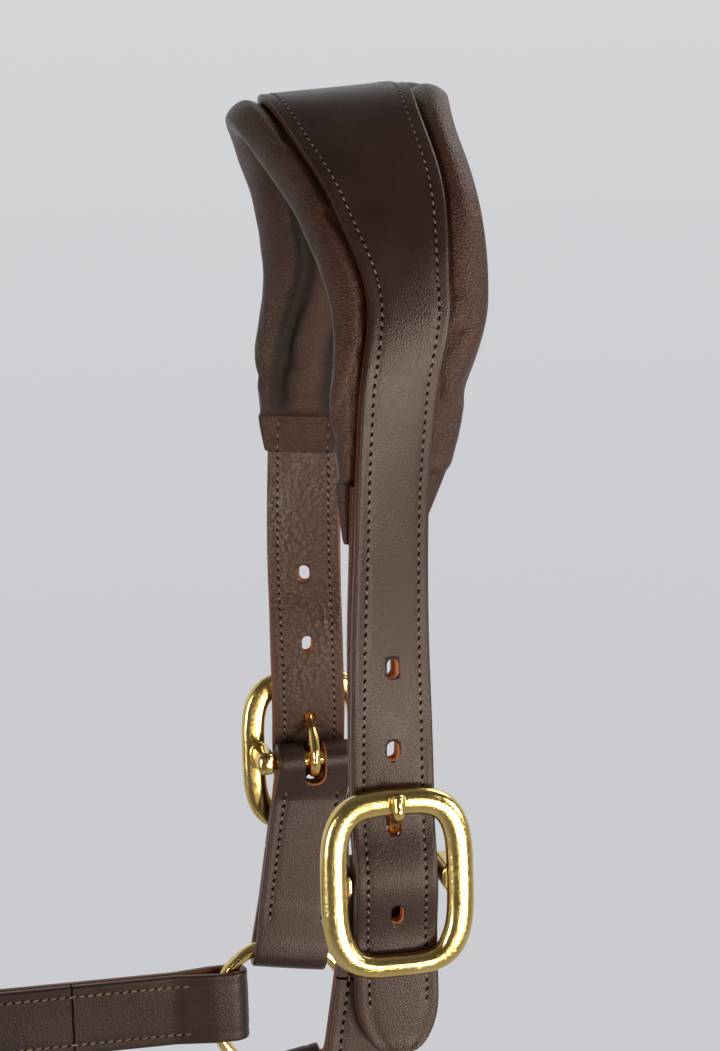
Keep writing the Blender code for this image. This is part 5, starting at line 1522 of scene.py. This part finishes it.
SNAP_BASE_DEPTH = 0.0094
GATE_DIAMETER = 0.0034
GATE_SLOT = 0.0042
GATE_SLOT_DEPTH = 0.0050
GATE_PIN = 0.0018
SWIVEL_SHANK = 0.0038
SWIVEL_HEAD = 0.0064
SWIVEL_HEAD_HEIGHT = 0.0022
EYE_INSIDE = 0.0215
PIVOT_Q = BASE_TOP - GATE_DIAMETER
HEAD_Q = BASE_BOTTOM + SWIVEL_FLOOR + GAP
KNUCKLE_RADIUS = GATE_PIN / 2 + GATE_DIAMETER / 2
NOSE_END_Q = CROOK_Q - HOOK_WIRE
SNAP_BRASS = brass_finish("cast brass", 1.6)
ACROSS = Matrix.Rotation(pi / 2, 4, "Y")


def snap_point(p, q, wide=0.0):
    """p is sideways along Y and q is up the throat's line from the ring's wire."""
    return throat_point(-RING_Y + p, RING_RADIUS - q, wide)


def snap_place(p, q):
    turn = Matrix((THROAT_WIDE, Y, -THROAT_DOWN)).transposed().to_4x4()
    return Matrix.Translation(snap_point(p, q)) @ turn


def snap_block(p_range, q_range, wide):
    (p0, p1), (q0, q1) = p_range, q_range
    piece = block((wide, p1 - p0, q1 - q0))
    piece.data.transform(snap_place((p0 + p1) / 2, (q0 + q1) / 2))
    return piece


def snap_pipe(line, radius):
    return pipe("bar", [snap_point(p, q) for p, q in line], radius, 28, wide=THROAT_WIDE)


def cast_brass(name, parts, body, node, cutters=()):
    piece = cast_in_one(parts, PIN_GRAIN)
    piece.name = name
    if cutters:
        carve(piece, list(cutters))
    piece.data.materials.clear()
    piece.data.set_sharp_from_angle(angle=radians(40))
    dress(piece, body, "brass", SNAP_BRASS, node)


def build_snap():
    crook = [(HOOK_RADIUS * cos(t), CROOK_Q + HOOK_RADIUS * sin(t)) for t in arc(0.0, pi, 40)]
    hook = [(HOOK_RADIUS, BASE_TOP - HOOK_WIRE / 2)] + crook + [(-HOOK_RADIUS, NOSE_END_Q + HOOK_WIRE / 2)]
    top_half = HOOK_RADIUS + HOOK_WIRE / 2
    rings = []
    for i in range(25):
        t = i / 24
        half = top_half + (SWIVEL_HEAD / 2 + 0.0030 - top_half) * t * t
        ring = [oval_point(2 * pi * (k + 0.5) / 48, SNAP_BASE_DEPTH / 2, half, 4) for k in range(48)]
        rings.append([snap_point(point.z, BASE_TOP - BASE_HEIGHT * t, point.x) for point in ring])
    base = skin("base", rings, [BASE_HEIGHT * i / 24 for i in range(25)])
    slot = snap_block((-2 * top_half, -HOOK_RADIUS + GATE_SLOT_DEPTH),
                      (PIVOT_Q - KNUCKLE_RADIUS - GAP, BASE_TOP + GATE_PIN), GATE_SLOT)
    window = snap_block((-SWIVEL_HEAD / 2 - 2 * GAP, SWIVEL_HEAD / 2 + 2 * GAP),
                        (HEAD_Q - GAP, HEAD_Q + SWIVEL_HEAD_HEIGHT + GAP), 2 * SNAP_BASE_DEPTH)
    bore = rod(SWIVEL_SHANK / 2 + GAP, 4 * SWIVEL_FLOOR, snap_place(0.0, BASE_BOTTOM))
    pin_hole = rod(GATE_PIN / 2 + GAP, 2 * SNAP_BASE_DEPTH, snap_place(-HOOK_RADIUS, PIVOT_Q) @ ACROSS)
    cast_brass("snap_hook", [base, snap_pipe(hook, HOOK_WIRE / 2)], "snap", "snap_body",
               (slot, window, bore, pin_hole))
    knuckle = rod(KNUCKLE_RADIUS, GATE_SLOT - 2 * GAP, snap_place(-HOOK_RADIUS, PIVOT_Q) @ ACROSS)
    top = NOSE_END_Q - GAP - GATE_DIAMETER * 0.4
    bar = snap_pipe([(-HOOK_RADIUS, PIVOT_Q + (top - PIVOT_Q) * i / 12) for i in range(13)], GATE_DIAMETER / 2)
    cast_brass("snap_gate_bar", [knuckle, bar], "gate", "snap_gate",
               [rod(GATE_PIN / 2 + GAP, GATE_SLOT, snap_place(-HOOK_RADIUS, PIVOT_Q) @ ACROSS)])
    half_wide, half_q = (EYE_INSIDE + EYE_WIRE) / 2, (EYE_TOP_Q - EYE_BAR_Q) / 2
    middle = (EYE_TOP_Q + EYE_BAR_Q) / 2
    line = [oval_point(t, half_wide, half_q, 9) for t in arc(0.0, 2 * pi, 720)[:-1]]
    kept = [line[0]]
    for point in line[1:]:
        if (point - kept[-1]).length > 0.0004 and (point - line[0]).length > 0.0003:
            kept.append(point)
    rings = []
    for i, point in enumerate(kept):
        run = (kept[(i + 1) % len(kept)] - kept[i - 1]).normalized()
        turns = [(EYE_WIRE / 2 * cos(t), EYE_WIRE / 2 * sin(t)) for t in arc(0.0, 2 * pi, 20)[:-1]]
        rings.append([snap_point(p, middle + point.z - out * run.x, point.x + out * run.z) for out, p in turns])
    loop = skin("loop", rings, [0.0004 * i for i in range(len(kept))], closed=True)
    shank_top = HEAD_Q + SWIVEL_HEAD_HEIGHT / 2
    shank = rod(SWIVEL_SHANK / 2, shank_top - EYE_TOP_Q, snap_place(0.0, (shank_top + EYE_TOP_Q) / 2))
    head = rod(SWIVEL_HEAD / 2, SWIVEL_HEAD_HEIGHT, snap_place(0.0, shank_top))
    cast_brass("snap_swivel_eye", [loop, shank, head], "throat", "snap_eye")


build_snap()
STEEL = plain_finish("steel", rgb(150, 150, 152), rgb(172, 172, 176), 300.0, 0.35, 1.0)
refinish("snap_gate_pin", STEEL)
refinish("snap_spring", STEEL)

for helper in (THREAD, PRICK):
    bpy.data.objects.remove(helper)
